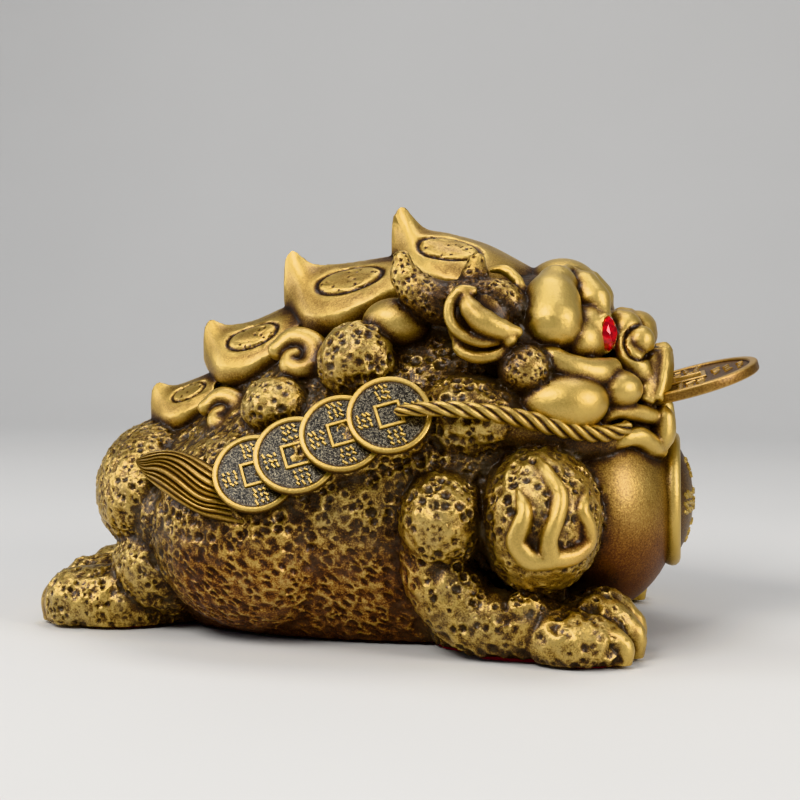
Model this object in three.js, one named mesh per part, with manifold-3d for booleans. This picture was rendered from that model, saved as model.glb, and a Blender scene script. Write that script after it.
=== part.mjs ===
// A money toad: a three-legged toad cast in brass, crouched over a belly disc, with a coin held in its mouth,
// a string of coins down each flank, a crest of cloud scrolls along its back and red glass eyes.
// Millimetres, +Z up, +X the way the toad faces, Y 0 its plane of symmetry, origin on the ground under its middle.
// The carving is set out on a master figure MASTER_LENGTH long, and follows FIGURE_LENGTH in proportion.
import * as THREE from "three";
import { mergeVertices } from "three/addons/utils/BufferGeometryUtils.js";
import Module from "manifold-3d";

const wasm = await Module();
wasm.setup();

// Driving sizes
const FIGURE_LENGTH = 190; // rear toes to belly disc
const MOUTH_COIN_D = 40;
const MOUTH_COIN_T = 2.8;
const MOUTH_COIN_TILT = 16; // degrees, front edge up
const MOUTH_COIN_ROLL = 4; // degrees that it lies askew, right edge down
const STRING_COIN_D = 22.8;
const STRING_COIN_T = 2.4;
const COIN_RIM = 1.5; // width of a coin's raised rim
const COIN_RELIEF = 0.5; // height of rim and square frame over a coin's ground
const COIN_HOLE = 5.4; // side of the square in a coin
const HOLE_FRAME = 0.9; // width of the square's raised frame
const ROPE_D = 5;
const BELLY_DISC_D = 38.5;
const GEM_WIDTH = 6.8;
const GEM_HEIGHT = 9.6;
const GEM_DEPTH = 5;
const FELT_T = 1; // glued pad under belly and feet
const CLEARANCE = 0.3; // between the casting and the loose pieces set in it

// The master figure, on which all free carving is set out
const MASTER_LENGTH = 190;
const UNIT = FIGURE_LENGTH / MASTER_LENGTH;
const MASS_FACES = 3700; // body and head are shaped finer, then brought down to this many faces
const CASTING_FACES = 8240; // and with the crisp carving laid on, if CRISP allows it
const CRISP = 0.5; // how far the crisp carving may give
const FELT_FACES = 300;
const FELT_GIVE = 0.7 * FELT_T; // how far its outline may give: less would keep more corners, more would close its edge

const at = (x, y, z) => new THREE.Vector3(x, y, z).multiplyScalar(UNIT);
const rad = THREE.MathUtils.degToRad;

// Solids

// A geometry as a closed solid.
function solid(geometry) {
  geometry.deleteAttribute("normal");
  geometry.deleteAttribute("uv");
  const merged = mergeVertices(geometry, 1e-4);
  return new wasm.Manifold(
    new wasm.Mesh({
      numProp: 3,
      vertProperties: merged.attributes.position.array,
      triVerts: new Uint32Array(merged.index.array),
    }),
  );
}

// A solid as a geometry.
function geometryOf(body) {
  const mesh = body.getMesh();
  const positions = new Float32Array(mesh.numVert * 3);
  for (let i = 0; i < mesh.numVert; i++) {
    const from = i * mesh.numProp;
    positions.set(mesh.vertProperties.subarray(from, from + 3), i * 3);
  }
  const geometry = new THREE.BufferGeometry();
  geometry.setAttribute("position", new THREE.BufferAttribute(positions, 3));
  geometry.setIndex(new THREE.BufferAttribute(mesh.triVerts, 1));
  geometry.computeVertexNormals();
  return geometry;
}

const joined = (bodies) => bodies.reduce((all, body) => all.add(body));

// The outer skin alone: hollows shut in between joined forms are filled.
const filled = (body) => joined(body.decompose().filter((shell) => shell.volume() > 0));

// The sum of squared distances from a point to the planes gathered in a form.
function offPlanes(form, { x, y, z }) {
  const [xx, xy, xz, xd, yy, yz, yd, zz, zd, dd] = form;
  return (
    x * (xx * x + 2 * (xy * y + xz * z + xd)) + y * (yy * y + 2 * (yz * z + yd)) + z * (zz * z + 2 * zd) + dd
  );
}

const SLIVER = 0.05; // a face this small may turn over

// The same solid in fewer faces: neighbouring corners close up into one, first where that leaves the surface where
// it was, then with more and more tolerance until the number of faces is down to the one asked for.
function coarser(body, most, give = 12) {
  const mesh = body.getMesh();
  const corners = Array.from({ length: mesh.numVert }, (_, i) =>
    new THREE.Vector3().fromArray(mesh.vertProperties, i * mesh.numProp),
  );
  const faces = Array.from({ length: mesh.numTri }, (_, i) => Array.from(mesh.triVerts.subarray(3 * i, 3 * i + 3)));
  const around = corners.map(() => new Set());
  const forms = corners.map(() => new Float64Array(10));
  const normalOf = ([a, b, c]) => b.clone().sub(a).cross(c.clone().sub(a));
  faces.forEach((face, f) => {
    const n = normalOf(face.map((i) => corners[i])).normalize();
    const d = -n.dot(corners[face[0]]);
    const plane = [n.x * n.x, n.x * n.y, n.x * n.z, n.x * d, n.y * n.y, n.y * n.z, n.y * d, n.z * n.z, n.z * d, d * d];
    for (const i of face) {
      around[i].add(f);
      plane.forEach((value, k) => (forms[i][k] += value));
    }
  });
  const neighbours = (i) => new Set([...around[i]].flatMap((f) => faces[f]).filter((j) => j !== i));
  const staysOpen = (i, other, place) =>
    [...around[i]].every((f) => {
      if (faces[f].includes(other)) return true;
      const before = normalOf(faces[f].map((j) => corners[j]));
      const after = normalOf(faces[f].map((j) => (j === i ? place : corners[j])));
      if (before.length() < SLIVER * UNIT ** 2) return true;
      return before.dot(after) > 0.25 * before.length() * after.length();
    });
  const closeUp = (i, j, limit) => {
    const form = forms[i].map((value, k) => value + forms[j][k]);
    const places = [corners[i], corners[j], corners[i].clone().lerp(corners[j], 0.5)];
    const place = places.reduce((best, one) => (offPlanes(form, one) < offPlanes(form, best) ? one : best));
    if (offPlanes(form, place) > limit) return false;
    const near = neighbours(j);
    if ([...neighbours(i)].filter((k) => near.has(k)).length !== 2) return false;
    if (!staysOpen(i, j, place) || !staysOpen(j, i, place)) return false;
    for (const f of around[j]) {
      if (faces[f].includes(i)) {
        for (const k of faces[f]) if (k !== j) around[k].delete(f);
        faces[f] = null;
      } else {
        faces[f][faces[f].indexOf(j)] = i;
        around[i].add(f);
      }
    }
    around[j].clear();
    corners[i] = place;
    forms[i] = form;
    return true;
  };
  let left = faces.length;
  for (let tolerance = 0.02 * UNIT; left > most && tolerance < give * UNIT; tolerance *= 1.25) {
    for (let i = 0; i < corners.length && left > most; i++) {
      for (const j of neighbours(i)) {
        if (!closeUp(i, j, tolerance ** 2)) continue;
        left -= 2;
        break;
      }
    }
  }
  const geometry = new THREE.BufferGeometry().setFromPoints(corners);
  geometry.setIndex(faces.filter((face) => face).flat());
  return solid(geometry.toNonIndexed());
}

// The same geometry on the other side of the plane of symmetry, its faces turned to point out again.
function mirrored(geometry) {
  const copy = geometry.index ? geometry.toNonIndexed() : geometry.clone();
  const p = copy.attributes.position;
  for (let i = 0; i < p.count; i++) p.setY(i, -p.getY(i));
  for (let i = 0; i < p.count; i += 3) {
    const second = new THREE.Vector3().fromBufferAttribute(p, i + 1);
    const third = new THREE.Vector3().fromBufferAttribute(p, i + 2);
    p.setXYZ(i + 1, third.x, third.y, third.z);
    p.setXYZ(i + 2, second.x, second.y, second.z);
  }
  return copy;
}

const bothSides = (geometries) => geometries.flatMap((geometry) => [geometry, mirrored(geometry)]);

// Rings of points, all alike in number, as one closed surface with a fan at each end. Each ring turns to the
// right about the way in which the rings follow each other.
function lofted(rings) {
  const sides = rings[0].length;
  const points = rings.flat();
  const centre = (ring) => ring.reduce((sum, p) => sum.add(p), new THREE.Vector3()).divideScalar(sides);
  const first = points.push(centre(rings[0])) - 1;
  const last = points.push(centre(rings[rings.length - 1])) - 1;
  const faces = [];
  for (let i = 0; i < sides; i++) {
    const next = (i + 1) % sides;
    faces.push(first, next, i);
    for (let r = 0; r + 1 < rings.length; r++) {
      const a = r * sides;
      const b = a + sides;
      faces.push(a + i, a + next, b + i, a + next, b + next, b + i);
    }
    const end = (rings.length - 1) * sides;
    faces.push(last, end + i, end + next);
  }
  const geometry = new THREE.BufferGeometry().setFromPoints(points);
  geometry.setIndex(faces);
  return geometry;
}

// An ellipsoid: its middle, its half-sizes along X, Y and Z, its pitch (front up) in degrees, and its facets.
function blob(middle, halves, pitch = 0, around = 14, over = 9) {
  return new THREE.SphereGeometry(1, around, over)
    .rotateX(Math.PI / 2)
    .scale(...halves.map((half) => half * UNIT))
    .rotateY(rad(-pitch))
    .translate(...at(...middle));
}

// A value that runs smoothly through a list, for t from 0 to 1.
function along(list, t) {
  const place = t * (list.length - 1);
  const i = Math.min(Math.floor(place), list.length - 2);
  return THREE.MathUtils.lerp(list[i], list[i + 1], THREE.MathUtils.smoothstep(place - i, 0, 1));
}

// A round form along a smooth path through points, with its radius at each point in turn and rounded ends.
// Lobes cut a twist into it, in turns over the whole path.
function tube(points, radii, { sides = 8, steps = 9, lobes = 0, lobeDepth = 0, twist = 0 } = {}) {
  const curve = new THREE.CatmullRomCurve3(points.map((p) => at(...p)));
  const frames = curve.computeFrenetFrames(steps);
  const ring = (i, scale, shift) => {
    const t = i / steps;
    const radius = along(radii, t) * UNIT;
    const middle = curve.getPointAt(t).addScaledVector(frames.tangents[i], shift * radius);
    return Array.from({ length: sides }, (_, k) => {
      const angle = (2 * Math.PI * k) / sides;
      const r = radius * scale * (1 + lobeDepth * Math.cos(lobes * (angle - 2 * Math.PI * twist * t)));
      return middle
        .clone()
        .addScaledVector(frames.normals[i], r * Math.cos(angle))
        .addScaledVector(frames.binormals[i], r * Math.sin(angle));
    });
  };
  const rings = Array.from({ length: steps + 1 }, (_, i) => ring(i, 1, 0));
  return lofted([ring(0, 0.6, -0.7), ...rings, ring(steps, 0.6, 0.7)]);
}

// Body

// The trunk, in sections from rump to chest: place along X, height of the back, half-width at the widest line,
// height of that line, half-width of the underside and its height. Where it is under the ground it is cut flat.
const TRUNK = [
  [-80, 46, 18, 34, 6, 24],
  [-70, 55, 30, 35, 11, 15],
  [-58, 62.5, 38, 34, 13, 1],
  [-42, 75, 45.5, 36, 19, -3],
  [-22, 87.5, 47.5, 40, 25.5, -3],
  [0, 97.5, 46.5, 45, 28, -3],
  [20, 102, 43.5, 50, 28.5, -3],
  [38, 99.5, 39, 56, 27, -3],
  [51, 88, 32, 58, 22, -3],
];
const BACK_SLOPE = 1.4; // 1 would give a round back; more makes it slope like a roof

function trunk() {
  const archPoints = 9;
  const section = ([x, top, half, waist, under, low]) => {
    const flank = [
      [under, low],
      [(under + half) * 0.55, low + (waist - low) * 0.32],
      [half * 0.96, low + (waist - low) * 0.7],
    ];
    const arch = Array.from({ length: archPoints + 1 }, (_, i) => {
      const angle = ((i / archPoints) * Math.PI) / 2;
      return [half * Math.cos(angle) ** BACK_SLOPE, waist + (top - waist) * Math.sin(angle) ** BACK_SLOPE];
    });
    const left = [...flank, ...arch];
    const right = left.slice(0, -1).map(([y, z]) => [-y, z]);
    return [...right, ...left.reverse()].map(([y, z]) => at(x, y, z));
  };
  return lofted(TRUNK.map(section).reverse());
}

const HAUNCH = blob([-34.5, 24, 30.5], [32, 27, 29.6], 0, 20, 13);
const RUMP = blob([-72.2, 0, 37.9], [19.2, 31, 20.2], 0, 20, 13);
const SHOULDER = blob([25.3, 33, 63.2], [16.3, 13, 12.4]);
const FLANK_FOLDS = [blob([-7.7, 29, 78.3], [11.6, 9.5, 11.6]), blob([-29.2, 28.5, 65.1], [10.2, 9.5, 8.7])];
const THROAT = blob([58.1, 0, 36.2], [24.2, 36, 31], 0, 24, 15);

// Third leg, stretched out behind: three thick toes, each with a blunt claw
const REAR_TOE_SPACING = 19;
const SIDE_TOE_SHORTER = 1.6;
const REAR_TOE_END = -94.5; // where the claws start

function rearFoot() {
  const toes = [-1, 0, 1].map((side) => {
    const [y, end] = [side * REAR_TOE_SPACING, REAR_TOE_END + Math.abs(side) * SIDE_TOE_SHORTER];
    return tube([[-62, y * 0.5, 6.5], [-78, y * 0.9, 6.5], [end, y, 6.3]], [10.4, 11.4, 10.2], { sides: 12 });
  });
  const claws = [-1, 0, 1].map((side) => {
    const [y, end] = [side * REAR_TOE_SPACING, REAR_TOE_END + Math.abs(side) * SIDE_TOE_SHORTER];
    return tube([[end - 3, y, 11], [end - 5.6, y, 7], [end - 5.6, y, 1.5]], [3.6, 3.9, 3.4], { steps: 6 });
  });
  const ankle = tube([[-48.3, 0, 12.9], [-62.5, 0, 11], [-76.7, 0, 10]], [16, 13, 11], { sides: 14 });
  return [...toes, ...claws, ankle];
}

// Front legs
const KNEE = { middle: [44.4, 38, 37], halves: [16.9, 21, 20.2] };
const FRONT_TOES = [
  { middle: [54.5, 48.2, 6], halves: [14.1, 8.9, 8.6], claw: [66.9, 49.5, 5.2] },
  { middle: [59, 41, 8.5], halves: [12.7, 6.8, 8.8], claw: [69.9, 41, 7] },
  { middle: [60.7, 34.5, 9.5], halves: [10.8, 6.4, 8.8], claw: [69.8, 34.5, 8.5] },
];

function frontLeg() {
  const claw = ([x, y, z]) => tube([[x - 2, y, z + 3], [x + 0.6, y, z], [x + 0.4, y, 1.5]], [2.8, 3, 2.6], { steps: 6 });
  return [
    blob(KNEE.middle, KNEE.halves, 0, 20, 13),
    blob([19, 42, 37], [12.3, 14.5, 13.7], 0, 16, 10),
    tube(
      [[15.6, 40, 28.6], [19, 42, 20], [27.6, 43.5, 11], [40.4, 44.5, 8.7], [53.6, 45, 7.5]],
      [9.8, 10.4, 9.7, 8.8, 7.6],
      { steps: 10, sides: 14 },
    ),
    blob([27.3, 30, 4.9], [13.4, 12, 8.6]),
    blob([41.3, 47.5, 14.5], [6.1, 5, 4.3]),
    ...FRONT_TOES.map(({ middle, halves }) => blob(middle, halves, -4)),
    ...FRONT_TOES.map((toe) => claw(toe.claw)),
  ];
}

// A point on a knee's outer face, standing off by lift.
function onKnee(x, z, lift) {
  const [mx, my, mz] = KNEE.middle;
  const [hx, hy, hz] = KNEE.halves;
  const left = 1 - ((x - mx) / hx) ** 2 - ((z - mz) / hz) ** 2;
  return [x, my + hy * Math.sqrt(Math.max(left, 0)) + lift, z];
}

// The flame carved on each knee: three tongues from one root
const FLAME_LIFT = 0.8;
const FLAME = [
  { line: [[49.4, 28.3], [43.3, 27.4], [39.1, 32.1], [42.4, 38.5], [39.6, 45.5]], radii: [3.4, 3.5, 3.2, 2.6, 1.2] },
  { line: [[48, 28.8], [48.5, 35.2], [51.8, 40.8], [51.3, 47.3], [45.2, 54.8]], radii: [3.4, 3.2, 2.8, 2.4, 1] },
  { line: [[48.5, 28.7], [54.5, 28.7], [57.8, 33.8], [54.5, 39.4], [56.4, 46.3]], radii: [3.4, 3.5, 3, 2.4, 1.1] },
];
const flame = () =>
  FLAME.map(({ line, radii }) => tube(line.map(([x, z]) => onKnee(x, z, FLAME_LIFT)), radii, { sides: 7, steps: 8 }));

// Crest along the back: pointed scrolls, each with a rounded ridge, a rim and an oval pad on both slopes, and
// most with a curled lobe at the front. Sections run forward from the tip: place along X, height of ridge,
// half-width of rim, height of rim.
const CREST = [
  {
    sections: [[-74.1, 67.3, 1, 63.3], [-71.9, 69.5, 4, 61.2], [-67.1, 68.6, 9.2, 60.3], [-61, 70.5, 12, 61.5],
      [-52.4, 74.2, 11.5, 66.2]],
    deep: 4.6,
    pad: { x: -61, share: 0.5, long: 5.6, wide: 3.2 },
    curl: { middle: [-46.6, 18.5, 61.9], reach: 4.5, radii: [2.4, 3.4, 3.6, 3, 2] },
  },
  {
    sections: [[-57.8, 85.9, 1, 81.6], [-55.5, 88.4, 4.5, 78.4], [-50.4, 86.8, 11, 75.4], [-42.3, 88.2, 14.5, 75.4],
      [-34.2, 91.7, 14, 79.5], [-27.1, 94.1, 12, 84]],
    deep: 5.4,
    pad: { x: -41.3, share: 0.5, long: 8, wide: 4.6 },
    curl: { middle: [-24.2, 21.5, 78.6], reach: 5, radii: [2.8, 3.8, 4, 3.2, 2.2] },
  },
  {
    sections: [[-33.4, 105.8, 1, 99.1], [-30.6, 108.7, 4.2, 95.1], [-24.6, 104.8, 12, 90.5], [-16, 104.9, 16.5, 90.6],
      [-6, 106.3, 17, 94.4], [3, 107.9, 14, 99]],
    deep: 6,
    pad: { x: -12.4, share: 0.5, long: 10, wide: 5.4 },
  },
  {
    sections: [[-1.4, 118.1, 1.2, 111.9], [1.9, 121.4, 5, 108.9], [8, 115.3, 13, 104.3], [16, 113.4, 18, 101.3],
      [26.9, 110.2, 19, 100], [39.8, 103.5, 13, 95.6]],
    deep: 7,
    pad: { x: 16.5, share: 0.48, long: 9.4, wide: 5.2 },
  },
];
const CREST_SWELL = 0.12; // how far the slopes swell, as a share of their width
const PAD_RISE = 0.7;
const CURL_LEAN = 35; // degrees that the curls lean in from upright
const CURL_TURN = 400; // degrees of winding
const CURL_OUT = [1.5, 1.05, 0.95, 0.75, 0.25]; // how far out the curl runs, as shares of its reach

// A point on a scroll's slope: place along X, and share of the way from the ridge down to the rim.
function onCrest(sections, x, share) {
  const i = Math.max(0, sections.findIndex((section) => section[0] > x) - 1);
  const [from, to] = [sections[i], sections[i + 1]];
  const t = (x - from[0]) / (to[0] - from[0]);
  const [, ridge, half, rim] = from.map((value, k) => value + (to[k] - value) * t);
  const swell = CREST_SWELL * half * Math.sin(Math.PI * share);
  return at(x, half * share + swell * 0.5, ridge + (rim - ridge) * share + swell);
}

function crestScroll({ sections, deep }) {
  const ring = ([x, ridge, half, rim]) => {
    const slope = [0, 0.5, 1].map((share) => {
      const swell = CREST_SWELL * half * Math.sin(Math.PI * share);
      return [half * share + swell * 0.5, ridge + (rim - ridge) * share + swell];
    });
    const left = [...slope, [half * 0.98, rim - deep * 0.5], [half * 0.8, rim - deep]];
    const right = left.slice(1).map(([y, z]) => [-y, z]).reverse();
    return [...right, ...left].map(([y, z]) => at(x, y, z));
  };
  return lofted(sections.map(ring).reverse());
}

// The oval pad in the middle of a scroll's slope, turned to lie on it.
function crestPad({ sections, pad: { x, share, long, wide } }) {
  const front = onCrest(sections, x + long * 0.7, share).sub(onCrest(sections, x - long * 0.7, share)).normalize();
  const down = onCrest(sections, x, share + 0.3).sub(onCrest(sections, x, share - 0.3));
  const out = front.clone().cross(down).normalize();
  const turn = new THREE.Matrix4()
    .makeBasis(front, out.clone().cross(front), out)
    .setPosition(onCrest(sections, x, share));
  return new THREE.CylinderGeometry(0.9, 1, 4 + 2 * PAD_RISE, 12)
    .rotateX(Math.PI / 2)
    .translate(0, 0, -2)
    .scale(long * UNIT, wide * UNIT, UNIT)
    .applyMatrix4(turn);
}

// A lobe that curls in on itself, lying on the slope of the back.
function crestCurl({ curl: { middle, reach, radii } }) {
  const lean = rad(CURL_LEAN);
  const stops = 8;
  const path = Array.from({ length: stops }, (_, i) => {
    const t = i / (stops - 1);
    const angle = rad(165 - CURL_TURN * t);
    const out = reach * along(CURL_OUT, t);
    const [u, v] = [out * Math.cos(angle), out * Math.sin(angle)];
    return [middle[0] + u, middle[1] - v * Math.sin(lean) + 1.2 * t, middle[2] + v * Math.cos(lean)];
  });
  return tube(path, radii, { sides: 6, steps: 10 });
}

const CREST_LOBE = blob([1.6, 22.5, 88.8], [8.4, 7.6, 6.8]);

// Hair tuft that sweeps forward over each haunch to the string of coins: its upper and lower edge
const TUFT = {
  upper: [[-68.6, 31, 50], [-61.3, 36.5, 52.9], [-54.1, 40.5, 53.6], [-47.1, 43.5, 51.8], [-39.1, 47, 47.7]],
  lower: [[-67.8, 33, 48.7], [-59.9, 41.5, 44.7], [-51.8, 46.5, 41.7], [-43.8, 49.5, 38.5], [-35, 51.5, 37]],
};
const TUFT_LOCKS = 6;
const LOCK_RISE = 1.5;

function tuft() {
  const [upper, lower] = [TUFT.upper, TUFT.lower].map(
    (row) => new THREE.CatmullRomCurve3(row.map((p) => at(...p))),
  );
  const rings = [0, 0.2, 0.4, 0.6, 0.8, 1].map((t) => {
    const [a, b] = [upper.getPointAt(t), lower.getPointAt(t)];
    const forward = upper.getTangentAt(t);
    const out = forward.clone().cross(b.clone().sub(a)).normalize().multiplyScalar(UNIT);
    const face = Array.from({ length: 2 * TUFT_LOCKS + 1 }, (_, k) => {
      const rise = (k % 2 ? LOCK_RISE : 0.2) * (t > 0 ? 1 : 0.4);
      return a.clone().lerp(b, k / (2 * TUFT_LOCKS)).addScaledVector(out, rise);
    });
    return [...face, b.clone().addScaledVector(out, -6), a.clone().addScaledVector(out, -6)];
  });
  return lofted(rings.reverse());
}

// Head

const skull = () => [
  blob([40.5, 0, 81.8], [23, 33, 20.4], 0, 20, 13),
  blob([48.6, 0, 94.8], [11.6, 12.5, 10.8], 0, 16, 10), // forehead
  blob([65, 0, 84.8], [10.3, 11.5, 7.1], 0, 16, 10), // nose
  blob([61, 0, 86.5], [6, 11, 5.3]), // its bridge
  blob([66.4, 0, 75.5], [12.9, 17, 7.5], 0, 18, 11), // muzzle
  blob([64, 0, 57.9], [14.9, 24, 10.4], 0, 18, 11), // lower jaw
];

const face = () => [
  tube([[50.6, 8, 103.4], [47.4, 12.5, 99.6], [45.3, 19.5, 94.4], [46.9, 25.5, 88.2]], [1.6, 5.4, 7.2, 5.2], { sides: 12 }),
  tube([[51.4, 8.5, 102.2], [55.6, 10.5, 99.2], [58.6, 14, 94.8], [59.6, 19.5, 91]], [2, 3.6, 3.6, 2]), // upper eyelid
  blob([55.4, 17.5, 86], [7.9, 9.4, 7.7], 0, 16, 10), // eyeball
  tube([[44.2, 31, 82.7], [49.4, 32, 77.6], [55.7, 30, 75.1], [61.7, 25, 75.8], [64.9, 19, 78.6]], [2, 3.8, 4.1, 3.7, 2]),
  blob([70.8, 9.6, 84], [3.5, 4.4, 4.1]), // nostril
  tube([[63.4, 12, 88.5], [65, 14.8, 81.8], [68.5, 15.4, 76], [71.5, 14, 71.8]], [2, 3.4, 4.2, 3.2]),
  tube([[75.6, -0.6, 77], [75, 6, 75.6], [73, 12, 72.4], [69.6, 18, 69]], [4.4, 4.3, 4, 3.2]), // upper lip
  tube([[73.5, 10, 78.2], [75.2, 14, 76.2], [74.8, 19, 70.5], [73.8, 20, 64.8]], [2.6, 3.4, 3.5, 3]), // its side
  blob([65.1, 21, 70.7], [6.6, 6.4, 5]),
  blob([50, 28, 68.6], [12.5, 10.5, 9], 4, 16, 10), // cheek
  blob([40.2, 35, 77.7], [7.1, 7, 7.1], 0, 16, 10), // gland under the ear
  blob([35.7, 36.6, 85.2], [1.9, 2, 1.9], 0, 10, 6),
  // corner of the mouth over the rope's end, waved lower lip, and the pointed petal at its front
  tube([[60.2, 26, 60.9], [63, 27, 64.1], [68, 24.6, 64.8], [73.7, 17.5, 64.3]], [1.6, 2.1, 2, 1.6]),
  tube([[61.1, 26.5, 56.1], [67.4, 26.2, 57.6], [72.5, 21.6, 55], [77.8, 12, 53.3]], [1.6, 2.2, 2.6, 2.2]),
  tube([[74.6, 17.6, 52.8], [76.6, 18.4, 58.8], [76.6, 18.8, 63.6], [76.4, 18.6, 67]], [2.6, 2.8, 2.1, 0.8]),
];

const ear = () => [
  blob([27.3, 31.5, 90.1], [9.1, 6.5, 10.1], 0, 10, 6),
  tube(
    [[36.9, 34.5, 87.2], [30.1, 37.6, 89.9], [25.8, 36.6, 97.2], [21.4, 36.2, 96.4], [20.1, 37.4, 90.5], [23, 38.6, 85.8],
      [30.1, 38.2, 84.2]],
    [1.8, 2.1, 1.8, 1.6, 1.6, 1.5, 1],
    { sides: 6, steps: 13 },
  ),
  tube([[22, 37.2, 84.8], [24.1, 38, 80.9], [29.1, 37.4, 79.4], [34.5, 35.8, 81.9]], [1.2, 1.5, 1.5, 1], { sides: 5, steps: 5 }),
];

const antler = () => [
  tube([[4.6, 25.6, 106.8], [5.6, 26.2, 102.1], [8.9, 27, 97.5], [14.3, 27.6, 94.5], [20.6, 28, 93]], [2.6, 4.2, 5.2, 5.8, 5.8], { sides: 10 }),
  tube([[25.7, 24.2, 106.4], [25.4, 25.2, 102.3], [25.2, 26.4, 97.7], [26.4, 27, 94]], [2.4, 3.5, 4.8, 5.6]),
  tube([[15.7, 27.6, 93.5], [25.4, 28, 93.9], [34.1, 27.6, 94.6], [39, 25.6, 91.4]], [5.8, 5.8, 5.6, 4.4], { sides: 10 }),
];

// Coins

// A coin lying in XY: raised rim and raised square frame on its upper face, and the same below if it is whole.
// Then its square goes right through.
function coin(diameter, thick, whole, sides) {
  const [radius, half] = [diameter / 2, thick / 2];
  const ground = half - COIN_RELIEF;
  const rimIn = radius - COIN_RIM;
  const upper = [[radius, half], [rimIn, half], [rimIn - 0.4, ground], [0, ground]];
  const lower = whole ? upper.map(([x, y]) => [x, -y]).reverse() : [[0, -half], [radius, -half]];
  const profile = [...lower, ...upper].map(([x, y]) => new THREE.Vector2(x, y));
  const square = (side, height, z) => solid(new THREE.BoxGeometry(side, side, height).translate(0, 0, z));
  return solid(new THREE.LatheGeometry(profile, sides).rotateX(Math.PI / 2))
    .add(square(COIN_HOLE + 2 * HOLE_FRAME, thick, 0))
    .subtract(whole ? square(COIN_HOLE, 2 * thick, 0) : square(COIN_HOLE, thick, thick - COIN_RELIEF));
}

// The string of coins on each flank, laid like shingles up and forward
const STRING = {
  middles: [[-31.1, 48.4, 49], [-19.8, 48.8, 54.2], [-7.5, 47.8, 60.1], [5.1, 46.6, 65.1]],
  lean: 33, // degrees from upright
  shingle: 7, // degrees that each coin lifts over the one behind
  turn: -17, // degrees of the square holes
};

const stringCoins = () =>
  STRING.middles.map((middle) =>
    geometryOf(coin(STRING_COIN_D, STRING_COIN_T, false, 16))
      .rotateZ(rad(STRING.turn))
      .rotateX(rad(STRING.lean - 90))
      .rotateZ(rad(-STRING.shingle))
      .translate(...at(...middle)),
  );

// The fold of flank that the string of coins lies on
const stringBed = () => tube([[-34.6, 40, 44.2], [-20.1, 40, 49.8], [-7.5, 38.5, 55.5], [7, 37, 60.7]], [9, 10.6, 11, 10.8], { sides: 12 });

// The twisted rope from the first coin's hole to the corner of the mouth, and the fold of neck under it
const ROPE = [[6.6, 48.6, 66.5], [16.1, 49.2, 67.4], [27.1, 47.4, 66.9], [39.5, 44, 64.7], [50.1, 40, 61.8], [59.9, 33, 59.7], [66.9, 27, 60.8]];
const ROPE_SHARES = [0.3, 0.42, 0.46, 0.5, 0.52, 0.5, 0.42]; // its radius as a share of its greatest diameter
const rope = () =>
  tube(ROPE, ROPE_SHARES.map((share) => (share * ROPE_D) / UNIT), { sides: 6, steps: 32, lobes: 3, lobeDepth: 0.16, twist: 3 });
const ropeBed = () => tube([[27.2, 40, 65.5], [39.7, 36, 63.7], [50.4, 32, 61], [60.2, 27, 58.9]], [7, 8, 7.6, 6]);

// The domed disc on the belly, facing forward: share of its radius, and rise
const BELLY_DISC = { middle: [81.4, 0, 37.8], lean: 1 };
const DISC_PROFILE = [[0, -9], [0.88, -9], [1, -2.6], [1, -0.6], [0.94, 0.6], [0.87, 1.1], [0.83, 0.7], [0.45, 3.9], [0, 4.7]];

const bellyDisc = () =>
  new THREE.LatheGeometry(DISC_PROFILE.map(([x, y]) => new THREE.Vector2((x * BELLY_DISC_D) / 2, y)), 20)
    .rotateZ(-Math.PI / 2)
    .rotateY(rad(-BELLY_DISC.lean))
    .translate(...at(...BELLY_DISC.middle));

// The mouth coin reaches as far forward as the rear claws reach back, so the origin stays under the middle.
const REAR_REACH = (9.4 - REAR_TOE_END) * UNIT;
const TILT = rad(MOUTH_COIN_TILT);
const MOUTH_COIN_X = REAR_REACH - (MOUTH_COIN_D / 2) * Math.cos(TILT) - (MOUTH_COIN_T / 2) * Math.sin(TILT);
const MOUTH_COIN_Z = 71.4 * UNIT;
const inMouth = (geometry) =>
  geometry.rotateX(rad(MOUTH_COIN_ROLL)).rotateY(-TILT).translate(MOUTH_COIN_X, 0, MOUTH_COIN_Z);

function mouthSlot() {
  const radius = MOUTH_COIN_D / 2 + CLEARANCE;
  return inMouth(
    new THREE.CylinderGeometry(radius, radius, MOUTH_COIN_T + 2 * CLEARANCE, 32).rotateX(Math.PI / 2),
  );
}

// Eyes: oval stones, each set in a socket that faces out and forward
const EYE = { middle: [62, 21.8, 86], facing: 33 }; // degrees out from straight ahead
const STONE_SIDES = 12;

function stone(grow = 0) {
  const [half, back, table] = [0.5, -GEM_DEPTH / 2, GEM_DEPTH * 0.22];
  const swell = 1 + (2 * grow) / GEM_WIDTH;
  const profile = [[0, back - grow], [half, back - grow], [half, 0], [half * 0.64, table + grow], [0, table + grow]];
  return new THREE.LatheGeometry(profile.map(([x, y]) => new THREE.Vector2(x * swell, y)), STONE_SIDES)
    .rotateZ(-Math.PI / 2)
    .scale(1, GEM_WIDTH, GEM_HEIGHT)
    .rotateZ(rad(EYE.facing))
    .translate(...at(...EYE.middle));
}

// The masses of body and head
function masses() {
  const single = [trunk(), RUMP, THROAT, ...rearFoot(), ...skull()];
  const sides = [HAUNCH, SHOULDER, ...FLANK_FOLDS, CREST_LOBE, ...frontLeg(), stringBed(), ropeBed()];
  return coarser(joined([...single, ...bothSides([...sides, ...face(), ...ear(), ...antler()])].map(solid)), MASS_FACES);
}

// The crisp carving laid over them
function ornament() {
  const curls = CREST.filter((scroll) => scroll.curl).map(crestCurl);
  const paired = [...CREST.map(crestPad), ...curls, ...flame(), tuft(), ...stringCoins(), rope()];
  return joined([bellyDisc(), ...CREST.map(crestScroll), ...bothSides(paired)].map(solid));
}

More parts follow.
